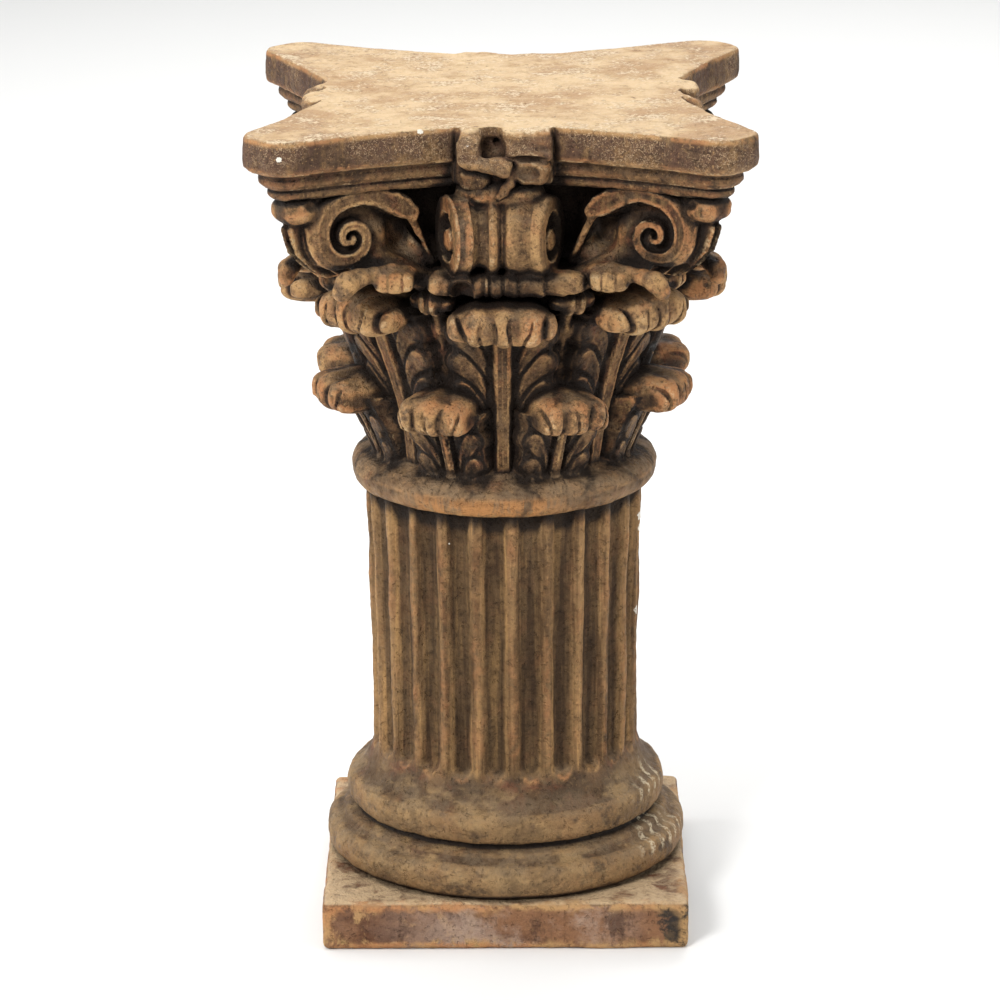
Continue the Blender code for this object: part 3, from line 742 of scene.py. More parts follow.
def scroll_tier():
    """The middle and corner scrolls with the small leaves that carry them."""
    block = Block(0.236, 0.480, 0.578)
    block.shape_with(bell(0.486, 0.574, 0.0006), ring_round(0.11, 0.48, 0.58))
    side = box((-0.060, 0.060), (-0.095, -0.158), (0.490, 0.572))
    for form, margin in ((garland, 0.002), (garland_knobs, 0.002), (bolster, 0.004),
                         (bolster_root, 0.002)):
        block.shape_with(form, side, SIDE_TURNS, margin)
    leaf_path = [place[:3] for place in UNDER_LEAF]
    block.shape_with(under_leaf, leaf_path, SIDE_TURNS, 0.018, mirrored=True)
    spiral = Spiral()
    for form in (spiral.band, spiral.ground, spiral.ridge):
        block.shape_with(form, spiral.corners(), SIDE_TURNS, 0.004, mirrored=True)
    horn = [(0.05, -0.05, 0.508), (0.168, -0.168, 0.570), (0.17, -0.13, 0.53), (0.13, -0.17, 0.53)]
    block.shape_with(horn_block, horn, SIDE_TURNS + [pi], 0.004)
    hollow = box((0.128, 0.144), (-0.166, -0.146), (0.547, 0.561))
    block.shape_with(horn_hollow, hollow, SIDE_TURNS, 0.002, mirrored=True, cut=True)
    arch = box((-0.036, -0.019), (-0.158, -0.130), (0.487, 0.504))
    block.shape_with(garland_hollow, arch, SIDE_TURNS, 0.002, cut=True)
    return block.settle()


def side_depth(x):
    half, waist = ABACUS_WIDTH / 2, ABACUS_WAIST / 2
    return waist + (half - waist) * (np.abs(x) / HORN_ARRIS) ** ABACUS_BOW


def slab_setback(z):
    """How far the slab's side stands back, at each level: a fascia and two rounded bands."""
    return np.interp(z, (0.5640, 0.5650, 0.5665, 0.5690, 0.5715, 0.5728, 0.5745, 0.5775, 0.5808,
                         0.5828, 0.5845, 0.5862, 0.5885, 0.5930, 0.6010, 0.6040),
                     (0.0205, 0.0175, 0.0155, 0.0142, 0.0144, 0.0155, 0.0115, 0.0090, 0.0088,
                      0.0098, 0.0080, 0.0026, 0.0006, 0.0000, 0.0002, 0.0006))


def slab(x, y, z):
    """The stepped slab with bowed sides and cut-off horns."""
    outset = 0.0020
    side = (-y - side_depth(x)) * 0.85 - outset
    cut = (np.abs(x) - y - HORN_ARRIS - ABACUS_WIDTH / 2) / ROOT2 - 2 * outset
    plan = soft_max(side, cut, 0.0150) + 0.9 * slab_setback(z)
    return soft_max(plan, np.maximum(z - SLAB_TOP, ABACUS_BASE - 0.0005 - z), 0.0048)


SLOT_LEFT, SLOT_RIGHT = -0.0318, 0.0365


def slots(x, y, z):
    """The grooves that part the flower from the slab, deep below and slight on top."""
    into = -y - 0.1300 + np.interp(z, (0.590, 0.602, SLAB_TOP), (0.0052, 0.0034, 0.0006))
    left = np.where(x < SLOT_LEFT, SLOT_LEFT - x - into * 0.40, x - SLOT_LEFT - 0.0006)
    right = np.where(x > SLOT_RIGHT, x - SLOT_RIGHT - into * 0.80, SLOT_RIGHT - x - 0.0006)
    return np.maximum(np.minimum(left, right), -into) * 0.8


def flower(x, y, z):
    """The worn flower: what is left of two upper petals, a curl, two lower petals and a strap."""
    left = rods(x, y, z, ((-0.0215, -0.1300, 0.6030, 0.0080), (-0.0225, -0.1350, 0.5970, 0.0096),
                          (-0.0225, -0.1370, 0.5905, 0.0080)))
    curl = rods(x, y, z, ((-0.0230, -0.1390, 0.5895, 0.0050), (-0.0120, -0.1410, 0.5865, 0.0046),
                          (-0.0020, -0.1420, 0.5865, 0.0066), (0.0015, -0.1430, 0.5845, 0.0070)))
    upper = ellipsoid(x, y, z, (0.0180, -0.1270, 0.6000), (0.0178, 0.0150, 0.0125), 4.0)
    rim = rod(x, y, z, (0.0060, -0.1400, 0.5940), (0.0320, -0.1400, 0.5925), 0.0032, 0.0032)
    upper = soft_min(upper, rim, 0.003)
    lower = ellipsoid(x, y, z, (0.0205, -0.1330, 0.5815), (0.0138, 0.0135, 0.0105), 2.3)
    tongue = ellipsoid(x, y, z, (-0.0180, -0.1290, 0.5745), (0.0108, 0.0070, 0.0082), 2.8)
    strap = rods(x, y, z, ((0.0070, -0.1400, 0.5810, 0.0034), (0.0068, -0.1395, 0.5740, 0.0034),
                           (0.0030, -0.1370, 0.5670, 0.0036), (-0.0040, -0.1330, 0.5605, 0.0038)))
    found = soft_min_of((left, curl, upper, lower, tongue, strap), 0.0016)
    found = found + 0.0007 * np.sin(x * 330 + z * 260) * np.sin(z * 410 - x * 170)
    return soft_max(found, z - SLAB_TOP + 0.0002, 0.0045)


def flower_ground(x, y, z):
    block = np.maximum(np.abs(x - 0.0015) - 0.0350, -y - 0.1285)
    return soft_max(block, np.maximum(0.5690 - z, z - SLAB_TOP), 0.004)


# The niche in the flower, its mouth and hole, the lower petal's dish, and the gaps by the petals
FLOWER_HOLLOWS = (((-0.0065, -0.1380, 0.5985), (0.0088, 0.0150, 0.0070), 2.3),
                  ((-0.0070, -0.1400, 0.6080), (0.0075, 0.0140, 0.0080), 2.0),
                  ((-0.0030, -0.1250, 0.5995), (0.0030, 0.0080, 0.0030), 2.0),
                  ((0.0175, -0.1490, 0.5815), (0.0098, 0.0085, 0.0068), 2.0),
                  ((0.0190, -0.1430, 0.5910), (0.0135, 0.0060, 0.0018), 2.2),
                  ((0.0000, -0.1330, 0.5780), (0.0060, 0.0060, 0.0050), 2.0))


def flower_hollows(x, y, z):
    lumps = [ellipsoid(x, y, z, *hollow) for hollow in FLOWER_HOLLOWS]
    return np.minimum.reduce(lumps)


def slab_top():
    """The slab on top, with a flower in the middle of each side."""
    block = Block(0.246, 0.553, SLAB_TOP + 0.003)

    def whole_slab(x, y, z):
        """The slab at any place, read on the side where the place lies."""
        u, w = fold(x, y)
        return slab((u - w) / ROOT2, -(u + w) / ROOT2, z)
    block.shape_with(whole_slab, ring_round(0.18, 0.55, 0.62), margin=0.10)
    side = box((-0.048, 0.048), (-0.105, -0.155), (0.551, TOP))
    for form, is_cut in ((flower, False), (flower_ground, False), (slots, True),
                         (flower_hollows, True)):
        block.shape_with(form, side, SIDE_TURNS, 0.004, cut=is_cut)
    return block.settle()


class Value:
    """A number that nodes work out, which adds, multiplies and so on as a plain number does."""

    def __init__(self, maker, socket):
        self.maker, self.socket = maker, socket

    def __add__(self, other):
        return self.maker.math("ADD", self, other)

    def __sub__(self, other):
        return self.maker.math("SUBTRACT", self, other)

    def __rsub__(self, other):
        return self.maker.math("SUBTRACT", other, self)

    def __mul__(self, other):
        return self.maker.math("MULTIPLY", self, other)

    def __truediv__(self, other):
        return self.maker.math("DIVIDE", self, other)

    def __rtruediv__(self, other):
        return self.maker.math("DIVIDE", other, self)

    def __pow__(self, other):
        return self.maker.math("POWER", self, other)

    def __abs__(self):
        return self.maker.math("ABSOLUTE", self)

    def band(self, low, high, bottom=0.0, top=1.0):
        """Goes smoothly from bottom to top as the value goes from low to high."""
        made = self.maker.node("ShaderNodeMapRange", {
            "Value": self, "From Min": low, "From Max": high, "To Min": bottom, "To Max": top},
            interpolation_type="SMOOTHSTEP")
        return Value(self.maker, made.outputs["Result"])


class Maker:
    """A node tree in the making, with short words for its nodes and sums."""

    def __init__(self, tree):
        self.tree = tree

    def node(self, kind, inputs=(), **settings):
        made = self.tree.nodes.new(kind)
        for key, value in settings.items():
            setattr(made, key, value)
        for key, value in dict(inputs).items():
            self.feed(made.inputs[key], value)
        return made

    def feed(self, socket, value):
        if isinstance(value, Value):
            self.tree.links.new(value.socket, socket)
        elif isinstance(value, bpy.types.NodeSocket):
            self.tree.links.new(value, socket)
        elif socket.type == "RGBA":
            socket.default_value = (*value, 1.0)
        else:
            socket.default_value = value

    def math(self, operation, *values):
        made = self.node("ShaderNodeMath", enumerate(values), operation=operation)
        return Value(self, made.outputs[0])

    def split(self, vector):
        parts = self.node("ShaderNodeSeparateXYZ", {0: vector})
        return [Value(self, part) for part in parts.outputs]


class Tree(Maker):
    """A Geometry Nodes tree with named inputs."""

    def __init__(self, name, inputs):
        super().__init__(bpy.data.node_groups.new(name, "GeometryNodeTree"))
        self.tree.is_modifier = True
        new_socket = self.tree.interface.new_socket
        for way in ("INPUT", "OUTPUT"):
            new_socket("Geometry", in_out=way, socket_type="NodeSocketGeometry")
        self.keys = {}
        for label, kind, value in inputs:
            socket = new_socket(label, in_out="INPUT", socket_type="NodeSocket" + kind)
            if value is not None:
                socket.default_value = value
            self.keys[label] = socket.identifier
        self.source = self.tree.nodes.new("NodeGroupInput")
        self.result = self.tree.nodes.new("NodeGroupOutput")

    def given(self, label):
        return Value(self, self.source.outputs[label])

    def finish(self, geometry, seam):
        """Makes copies real, joins points closer than the seam, and gives them the material."""
        real = self.node("GeometryNodeRealizeInstances", {"Geometry": geometry})
        joined = self.node("GeometryNodeMergeByDistance",
                           {"Geometry": real.outputs[0], "Distance": seam})
        finished = self.node("GeometryNodeSetMaterial", {
            "Geometry": joined.outputs[0], "Material": self.given("Material")})
        self.feed(self.result.inputs["Geometry"], finished.outputs[0])
        return self


def apply_tree(made, tree, values, modifiers=()):
    """Runs a tree on an object, then other modifiers, and keeps the result as a plain mesh."""
    nodes = made.modifiers.new("shape", "NODES")
    nodes.node_group = tree.tree
    for label, value in values.items():
        nodes[tree.keys[label]] = value
    for kind, settings in modifiers:
        extra = made.modifiers.new(kind.lower(), kind)
        for key, value in settings.items():
            setattr(extra, key, value)
    graph = bpy.context.evaluated_depsgraph_get()
    mesh = bpy.data.meshes.new_from_object(made.evaluated_get(graph))
    made.modifiers.clear()
    old, made.data = made.data, mesh
    bpy.data.meshes.remove(old)
    mesh.name = made.name


def sides_tree():
    """Repeats one side of the capital round the axis and joins the sides' edges."""
    tree = Tree("sides_round_the_axis", (("Sides", "Int", SIDES), ("Seam", "Float", 0.00002),
                                         ("Material", "Material", None)))
    points = tree.node("GeometryNodeMeshLine", {"Count": tree.given("Sides"), "Offset": (0, 0, 0)})
    index = Value(tree, tree.node("GeometryNodeInputIndex").outputs[0])
    turn = tree.node("ShaderNodeCombineXYZ", {"Z": index * (2 * pi / tree.given("Sides"))})
    copies = tree.node("GeometryNodeInstanceOnPoints", {
        "Points": points.outputs[0], "Instance": tree.given("Geometry"),
        "Rotation": turn.outputs[0]})
    return tree.finish(copies.outputs[0], tree.given("Seam"))


def close_holes(mesh):
    """Closes the small square that is left on the axis, and looks after the normals."""
    shape = bmesh.new()
    shape.from_mesh(mesh)
    open_edges = [edge for edge in shape.edges if edge.is_boundary]
    if open_edges:
        bmesh.ops.holes_fill(shape, edges=open_edges, sides=8)
    shape.to_mesh(mesh)
    shape.free()


def mesh_arrays(mesh):
    points = np.empty(len(mesh.vertices) * 3)
    mesh.vertices.foreach_get("co", points)
    normals = np.empty(len(mesh.vertices) * 3)
    mesh.vertices.foreach_get("normal", normals)
    edges = np.empty(len(mesh.edges) * 2, int)
    mesh.edges.foreach_get("vertices", edges)
    return points.reshape(-1, 3), normals.reshape(-1, 3), edges.reshape(-1, 2)


def spread(values, edges, count, rounds):
    """Each point's value, averaged with its neighbours' so many times."""
    degree = np.bincount(edges.ravel(), minlength=count)
    for _ in range(rounds):
        total = np.zeros_like(values)
        for axis in range(values.shape[1]):
            total[:, axis] += np.bincount(edges[:, 0], values[edges[:, 1], axis], count)
            total[:, axis] += np.bincount(edges[:, 1], values[edges[:, 0], axis], count)
        values = (values + total) / (1 + degree[:, None])
    return values


def ripple(points, size, seed):
    """Smooth unevenness from -1 to 1 over points, as a sum of waves in many directions."""
    draw = np.random.default_rng(seed)
    total = np.zeros(len(points))
    count = 18
    for _ in range(count):
        way = draw.normal(size=3)
        way /= np.linalg.norm(way)
        length = size * draw.uniform(0.7, 1.5)
        total += np.sin(points @ way * 2 * pi / length + draw.uniform(0, 2 * pi))
    return total / sqrt(count)


def wear(mesh, sharp=None):
    """Moves the points a little, as an old mould would, and takes chips off the sharp edges."""
    points, normals, _ = mesh_arrays(mesh)
    shift = sum(height * ripple(points, length, seed) for height, length, seed in MOULD_RIPPLES)
    if sharp is not None:
        weak = smooth_step(0.55, 1.30, ripple(points, 0.013, 21))
        shift -= CHIP_DEPTH * (smooth_step(0.09, 0.20, sharp) * weak)
    points = points + normals * shift[:, None]
    points[:, 2] = np.minimum(points[:, 2], TOP + 0.0004)
    mesh.vertices.foreach_set("co", points.ravel())
    mesh.update()


def set_attribute(mesh, name, values):
    made = mesh.attributes.new(name, "FLOAT", "POINT")
    made.data.foreach_set("value", np.asarray(values, np.float32))


def distance_to(blocks, points, most=0.02):
    """The distance to the nearest stone of any of the blocks, or this much at most."""
    free = np.full(len(points), most)
    for block in blocks:
        near = (points[:, 2] > block.low - most) & (points[:, 2] < block.high + most)
        if near.any():
            free[near] = np.minimum(free[near], block.distance_at(points[near]))
    return free


def bend_at(block, points, reach):
    """How far the stone bends outwards at each point, as a share of this reach."""
    total = np.zeros(len(points))
    for way in np.ndindex(2, 2, 2):
        step = (np.array(way) * 2 - 1) * reach / sqrt(3)
        total += block.distance_at(points + step)
    return (total / 8 - block.distance_at(points)) / reach


# How far off the surroundings are felt for the painted shade, and how much each distance counts
SHADE_REACHES = ((0.003, 0.25), (0.008, 0.35), (0.018, 0.40))
# The levels and the radii within which the capital lies under what overhangs it, painted as shade
SHADED_WITHIN = ((0.350, 0.400, 0.450, 0.500, 0.570, 0.580),
                 (0.096, 0.106, 0.118, 0.128, 0.128, 0.0))


def mark_surface(mesh, block, blocks):
    """Writes how sharp each point of the surface is, and how deep it lies among its neighbours,
    for painted shade and grime.
    """
    points, normals, _ = mesh_arrays(mesh)
    # Sharp and bent places, which the finish paints as rubbed wear and as painted highlight
    for name, reach in (("worn", EDGE_REACH), ("broad", 0.0065)):
        set_attribute(mesh, name, bend_at(block, points, reach))
    recess = np.zeros(len(points))
    for reach, share in SHADE_REACHES:
        free = distance_to(blocks, points + normals * reach)
        recess += share * np.clip(1 - free / reach, 0, 1)
    out, level = np.hypot(points[:, 0], points[:, 1]), points[:, 2]
    recess += 0.65 * smooth_step(0.003, 0.018, np.interp(level, *SHADED_WITHIN) - out)
    recess *= 1 - 0.45 * smooth_step(0.580, 0.590, level)
    # The creases between leaflets are painted darker as shade
    if block.blade is not None:
        recess += 0.45 * block.blade.crease_at(points, block.blade_turn)
    set_attribute(mesh, "recess", np.clip(recess, 0, 1))


def capital_piece(name, block, blocks, material, tree):
    points, faces = block.skin()
    made = mesh_object(name, points, faces)
    share = min(1.0, MOST_FACES / (2.0 * SIDES * len(faces)))
    print(name, "faces", 2 * SIDES * len(faces), "kept", round(share, 3))
    apply_tree(made, tree, {"Sides": SIDES, "Material": material},
               (("DECIMATE", {"ratio": share}),))
    close_holes(made.data)
    wear(made.data, bend_at(block, mesh_arrays(made.data)[0], EDGE_REACH))
    mark_surface(made.data, block, blocks)
    return made


# The base's outline as radius and level: a torus, a cove, a smaller torus, and the shaft
LOWER_TORUS = dict(inner=0.1235, reach=0.1340, low=0.0368, high=0.0628, count=22)
COVE = ((0.1222, 0.0638), (0.1212, 0.0652), (0.1206, 0.0666), (0.1192, 0.0680),
        (0.1160, 0.0694), (0.1120, 0.0703), (0.1096, 0.0716), (0.1100, 0.0732))
UPPER_TORUS = dict(inner=0.1118, reach=0.1180, low=0.0742, high=0.0972, count=18)
SHAFT_LINE = ((0.1108, 0.0982), (0.1086, 0.0998), (0.1060, 0.1024), (0.1037, 0.1058),
              (0.1012, 0.1110), (0.0992, 0.1160), (SHAFT_RADIUS, 0.1200), (0.0984, 0.146),
              (0.0987, 0.185), (0.0994, 0.224), (0.1003, 0.270), (0.1016, 0.302))
INSIDE_PLINTH = PLINTH_HEIGHT - 0.006
INSIDE_RING = RING_BASE + 0.004
CORE_RADIUS = 0.05


def torus_line(inner, reach, low, high, count):
    """The outline of a torus that bulges from the inner radius out to its reach."""
    angles = [pi * k / count - pi / 2 for k in range(count + 1)]
    return [(inner + (reach - inner) * max(cos(angle), 0) ** 0.85,
             (low + high) / 2 + (high - low) / 2 * sin(angle)) for angle in angles]


def profile_curve():
    """The outline of the mouldings and the shaft, from the plinth to the neck."""
    points = [(0.0, INSIDE_PLINTH), (0.110, INSIDE_PLINTH), *torus_line(**LOWER_TORUS), *COVE,
              *torus_line(**UPPER_TORUS), *SHAFT_LINE, (NECK_RADIUS, INSIDE_RING),
              (0.0, INSIDE_RING)]
    curve = bpy.data.curves.new("shaft_outline", "CURVE")
    curve.dimensions = "3D"
    line = curve.splines.new("POLY")
    line.points.add(len(points) - 1)
    for point, (radius, level) in zip(line.points, points):
        point.co = (radius, 0.0, level, 1.0)
    return new_object("shaft_outline", curve)


def flute_depth(tree, around, level):
    """How far the outline sinks in the flutes, and a little on the crests between them."""
    math, given = tree.math, tree.given
    half_pitch = 2 * pi / given("Flutes") / 2.0
    phase = math("PINGPONG", around - given("Flute Turn"), half_pitch) / half_pitch
    aside = phase / given("Flute Share")
    above = (level - given("Flute Foot")) / (half_pitch * given("Flute Share") * SHAFT_RADIUS)
    below_round = math("MINIMUM", above - 1.0, 0.0)
    from_middle = math("SQRT", aside * aside + below_round * below_round)
    inside = math("MAXIMUM", 1.0 - from_middle ** 2.5, 0.0)
    hollow = inside ** 0.95 * given("Flute Depth")
    from_crest = (1.0 - phase) / 0.30
    started = math("MINIMUM", math("MAXIMUM", above + 0.15, 0.0), 1.0)
    fall = math("MINIMUM", from_crest * from_crest, 1.0) * started * given("Crest Fall")
    return (hollow + fall) * math("GREATER_THAN", above, -0.2)


def shaft_tree():
    """The outline turned round the axis, with flutes sunk into the shaft."""
    tree = Tree("fluted_shaft", (
        ("Outline", "Object", None), ("Around", "Int", 432), ("Up", "Int", 200),
        ("Flutes", "Int", FLUTE_COUNT), ("Flute Depth", "Float", FLUTE_DEPTH),
        ("Flute Share", "Float", FLUTE_SHARE), ("Crest Fall", "Float", CREST_FALL),
        ("Flute Turn", "Float", FLUTE_TURN), ("Flute Foot", "Float", SHAFT_FOOT),
        ("Material", "Material", None)))
    math, given = tree.math, tree.given
    sheet = tree.node("GeometryNodeMeshGrid", {
        "Size X": 1.0, "Size Y": 1.0, "Vertices X": given("Around"), "Vertices Y": given("Up")})
    across, up, _ = tree.split(tree.node("GeometryNodeInputPosition").outputs[0])
    around = (across + 0.5) * (2 * pi)
    outline = tree.node("GeometryNodeObjectInfo", {"Object": given("Outline")})
    on_line = tree.node("GeometryNodeSampleCurve", {
        "Curves": outline.outputs["Geometry"], "Factor": up + 0.5},
        mode="FACTOR", use_all_curves=False)
    radius, _, level = tree.split(on_line.outputs["Position"])
    sunk = flute_depth(tree, around, level) * math("GREATER_THAN", radius, CORE_RADIUS)
    out = radius - sunk
    spot = tree.node("ShaderNodeCombineXYZ", {
        "X": out * math("SINE", around), "Y": out * math("COSINE", around) * -1.0, "Z": level})
    kept = tree.node("GeometryNodeStoreNamedAttribute", {
        "Geometry": sheet.outputs["Mesh"], "Name": "sunk", "Value": sunk / given("Flute Depth")})
    placed = tree.node("GeometryNodeSetPosition", {
        "Geometry": kept.outputs[0], "Position": spot.outputs[0]})
    return tree.finish(placed.outputs[0], 0.00001)


def box_mesh(name, width, height, worn):
    """A square block that stands on the floor, with edges worn round and small faces."""
    shape = bmesh.new()
    bmesh.ops.create_cube(shape, size=1.0)
    for vertex in shape.verts:
        vertex.co = Vector((vertex.co.x * width, vertex.co.y * width,
                            (vertex.co.z + 0.5) * height))
    bmesh.ops.bevel(shape, geom=shape.edges[:], offset=worn, segments=4, profile=0.5,
                    affect="EDGES")
    for longer_than, cuts in ((0.1, 60), (0.02, 9)):
        edges = [edge for edge in shape.edges if edge.calc_length() > longer_than]
        bmesh.ops.subdivide_edges(shape, edges=edges, cuts=cuts, use_grid_fill=True)
    mesh = bpy.data.meshes.new(name)
    shape.to_mesh(mesh)
    shape.free()
    return mesh


def base_and_shaft(material):
    """The plinth, the mouldings and the fluted shaft, worn where they stand free."""
    outline = profile_curve()
    made = mesh_object("base_and_shaft", [(0, 0, 0)], [])
    apply_tree(made, shaft_tree(), {"Outline": outline, "Material": material})
    bpy.data.objects.remove(outline)
    plinth = box_mesh("plinth", PLINTH_WIDTH, PLINTH_HEIGHT, 0.0045)
    shape = bmesh.new()
    shape.from_mesh(made.data)
    bmesh.ops.recalc_face_normals(shape, faces=shape.faces[:])
    shape.from_mesh(plinth)
    shape.to_mesh(made.data)
    shape.free()
    bpy.data.meshes.remove(plinth)
    made.data.materials.clear()
    made.data.materials.append(material)
    on_floor = mesh_arrays(made.data)[0][:, 2] < 1e-5
    wear(made.data)
    points = mesh_arrays(made.data)[0]
    points[:, 2] = np.maximum(points[:, 2], 0.0)
    points[on_floor, 2] = 0.0
    points[:, :2] = np.clip(points[:, :2], -PLINTH_WIDTH / 2, PLINTH_WIDTH / 2)
    made.data.vertices.foreach_set("co", points.ravel())
    made.data.update()
    mark_base(made.data)
    return made


def mark_base(mesh):
    """The same marks as on the capital, from how the mesh bends instead of from a block."""
    points, normals, edges = mesh_arrays(mesh)
    count = len(points)
    level, out = points[:, 2], np.hypot(points[:, 0], points[:, 1])
    softer = 1 - 0.50 * smooth_step(0.112, 0.128, level)
    # Sharp and bent places, which the finish paints as rubbed wear and as painted highlight
    for name, rounds, scale in (("worn", 4, 215), ("broad", 30, 87)):
        bend = ((points - spread(points, edges, count, rounds)) * normals).sum(1)
        set_attribute(mesh, name, bend * scale * softer)
    # The recess mark, painted as shade and grime: flutes, under the ring, the cove, the torus's
    # foot and the plinth round it
    sunk = np.zeros(count, np.float32)
    mesh.attributes["sunk"].data.foreach_get("value", sunk)
    on_shaft = (level > SHAFT_FOOT) & (out < 0.104)
    flutes = 0.42 * smooth_step(0.30, 0.95, sunk) * on_shaft
    under_ring = 0.60 * smooth_step(0.302, 0.320, level) * on_shaft
    cove = smooth_step(0.0060, 0.0, np.abs(level - 0.0730)) * smooth_step(0.1170, 0.1110, out)
    on_torus = (level > PLINTH_HEIGHT + 0.0006) & (out < 0.1342)
    foot = 0.7 * smooth_step(0.0080, 0.0, level - PLINTH_HEIGHT) * on_torus
    on_plinth = (np.abs(level - PLINTH_HEIGHT) < 0.002) & (normals[:, 2] > 0.6) & ~on_torus
    round_it = 0.45 * smooth_step(0.0100, 0.0, out - 0.1280) * on_plinth
    set_attribute(mesh, "recess", np.clip(flutes + under_ring + cove + foot + round_it, 0, 1))


class Shader(Maker):
    """A material in the making, with short words for its noise and its coats of colour."""

    def __init__(self, name):
        self.material = bpy.data.materials.new(name)
        self.material.use_nodes = True
        super().__init__(self.material.node_tree)
        self.surface = self.tree.nodes["Principled BSDF"]
        self.place = self.node("ShaderNodeTexCoord").outputs["Object"]

    def noise(self, size, detail=4.0, rough=0.55, stretch=(1, 1, 1), twist=0.0, offset=0.0):
        """Cloudy noise from 0 to 1 with marks about this size, in metres."""
        moved = self.node("ShaderNodeMapping", {
            "Vector": self.place, "Scale": stretch,
            "Location": (offset, offset * 0.7, offset * 1.3)})
        made = self.node("ShaderNodeTexNoise", {
            "Vector": moved.outputs[0], "Scale": 1.0 / size, "Detail": detail, "Roughness": rough,
            "Distortion": twist})
        return Value(self, made.outputs["Fac"])

    def attribute(self, name):
        return Value(self, self.node("ShaderNodeAttribute", attribute_name=name).outputs["Fac"])

    def measure(self, operation, *vectors):
        made = self.node("ShaderNodeVectorMath", enumerate(vectors), operation=operation)
        return Value(self, made.outputs["Value"])

    def near(self, place, size, ragged):
        """1 within about this distance of a place and 0 beyond it, with a ragged edge."""
        away = self.measure("DISTANCE", self.place, place) + ragged * (size * 1.6)
        return away.band(1.80 * size, 1.65 * size)

    def layers(self, below, *coats):
        """Coats laid one over the other, each a colour and the shares that thin it."""
        for colour, share, *others in coats:
            for other in others:
                share = share * other
            made = self.node("ShaderNodeMix", {"Factor": share, "A": below, "B": colour},
                             data_type="RGBA")
            below = made.outputs["Result"]
        return below


class Stone(Shader):
    """The cast stone's noises, and shares that say where on the casting a point lies."""

    def __init__(self):
        super().__init__("cast_stone")
        self.cloud = self.noise(0.055, 5.0, 0.62)
        self.patch = self.noise(0.022, 6.0, 0.66, offset=2.3, twist=0.4)
        self.fine = self.noise(0.0085, 5.0, 0.68, offset=3.1)
        self.grain = self.noise(0.0026, 4.0, 0.72, offset=1.7)
        self.streak = self.noise(0.013, 5.0, 0.66, stretch=(1.5, 1.5, 0.14), offset=5.3)
        self.smudge = self.noise(0.036, 5.0, 0.62, stretch=(1.0, 1.0, 2.2), offset=14.0)
        self.worn, self.broad, self.recess = map(self.attribute, ("worn", "broad", "recess"))
        self.x, self.y, self.z = self.split(self.place)
        self.upward = self.split(self.node("ShaderNodeNewGeometry").outputs["Normal"])[2]
        z = self.z
        self.open_place = self.recess.band(0.50, 0.10)
        self.plinth = z.band(0.0395, 0.0375)
        self.mouldings = z.band(0.0372, 0.0380) * z.band(0.120, 0.100)
        self.shaft = z.band(0.116, 0.126) * z.band(0.330, 0.322)
        self.ring = (z.band(RING_BASE - 0.001, RING_BASE + 0.003)
                     * z.band(BELL_BASE + 0.008, BELL_BASE))
        self.carved = z.band(0.325, 0.350, 0.35, 1.0)
        self.slab_bands = z.band(0.560, 0.566) * z.band(0.587, 0.583)
        self.fascia = z.band(0.584, 0.590) * z.band(TOP - 0.0015, TOP - 0.0045)


# Bare white spots of the casting, as x, y, z and size
CHIPS = ((-0.1508, -0.1768, 0.5990, 0.0021), (-0.0555, -0.1360, 0.6095, 0.0023),
         (-0.0235, -0.1425, 0.6000, 0.0019), (0.0980, -0.0200, 0.2960, 0.0036),
         (0.0980, -0.0190, 0.2870, 0.0040), (0.0975, -0.0185, 0.2230, 0.0042),
         (-0.0390, -0.0905, 0.2970, 0.0008), (-0.0190, -0.0965, 0.2410, 0.0008))
CHIP_WHITE = (0.820, 0.770, 0.670)
# A near black, for grime in the hollows and for painted shade
BLACK_DIRT_AND_SHADE = (0.010, 0.006, 0.004)


def raw_stone(s):
    """Brown stone with red and ochre in it, duller mouldings and ring, and runs on the shaft."""
    haze = s.noise(0.03, 4.0, 0.6, offset=7.7)
    run = s.noise(0.012, 5.0, 0.60, stretch=(1.5, 1.5, 0.07), offset=11.1)
    return s.layers(
        (0.050, 0.027, 0.014),
        ((0.165, 0.090, 0.042), s.cloud.band(0.38, 0.62)),
        ((0.190, 0.068, 0.032), s.patch.band(0.48, 0.66, 0.0, 0.70)),
        ((0.170, 0.115, 0.066), haze.band(0.50, 0.70, 0.0, 0.40)),
        ((0.280, 0.160, 0.064), s.streak.band(0.44, 0.64, 0.0, 0.80), s.open_place,
         s.z.band(0.112, 0.124)),
        ((0.095, 0.058, 0.029), s.mouldings, 0.55),
        ((0.380, 0.245, 0.112), s.smudge.band(0.46, 0.60, 0.0, 0.70), s.mouldings,
         s.upward.band(-0.5, 0.3)),
        ((0.270, 0.172, 0.092), s.ring, s.smudge.band(0.40, 0.56, 0.15, 0.70)),
        ((0.290, 0.170, 0.070), s.shaft, 0.45),
        ((0.060, 0.030, 0.012), run.band(0.48, 0.60, 0.0, 0.75), s.shaft),
        ((0.430, 0.245, 0.095), run.band(0.48, 0.34, 0.0, 0.80), s.shaft),
        ((0.036, 0.019, 0.011), s.fine.band(0.48, 0.66, 0.0, 0.75), s.carved))


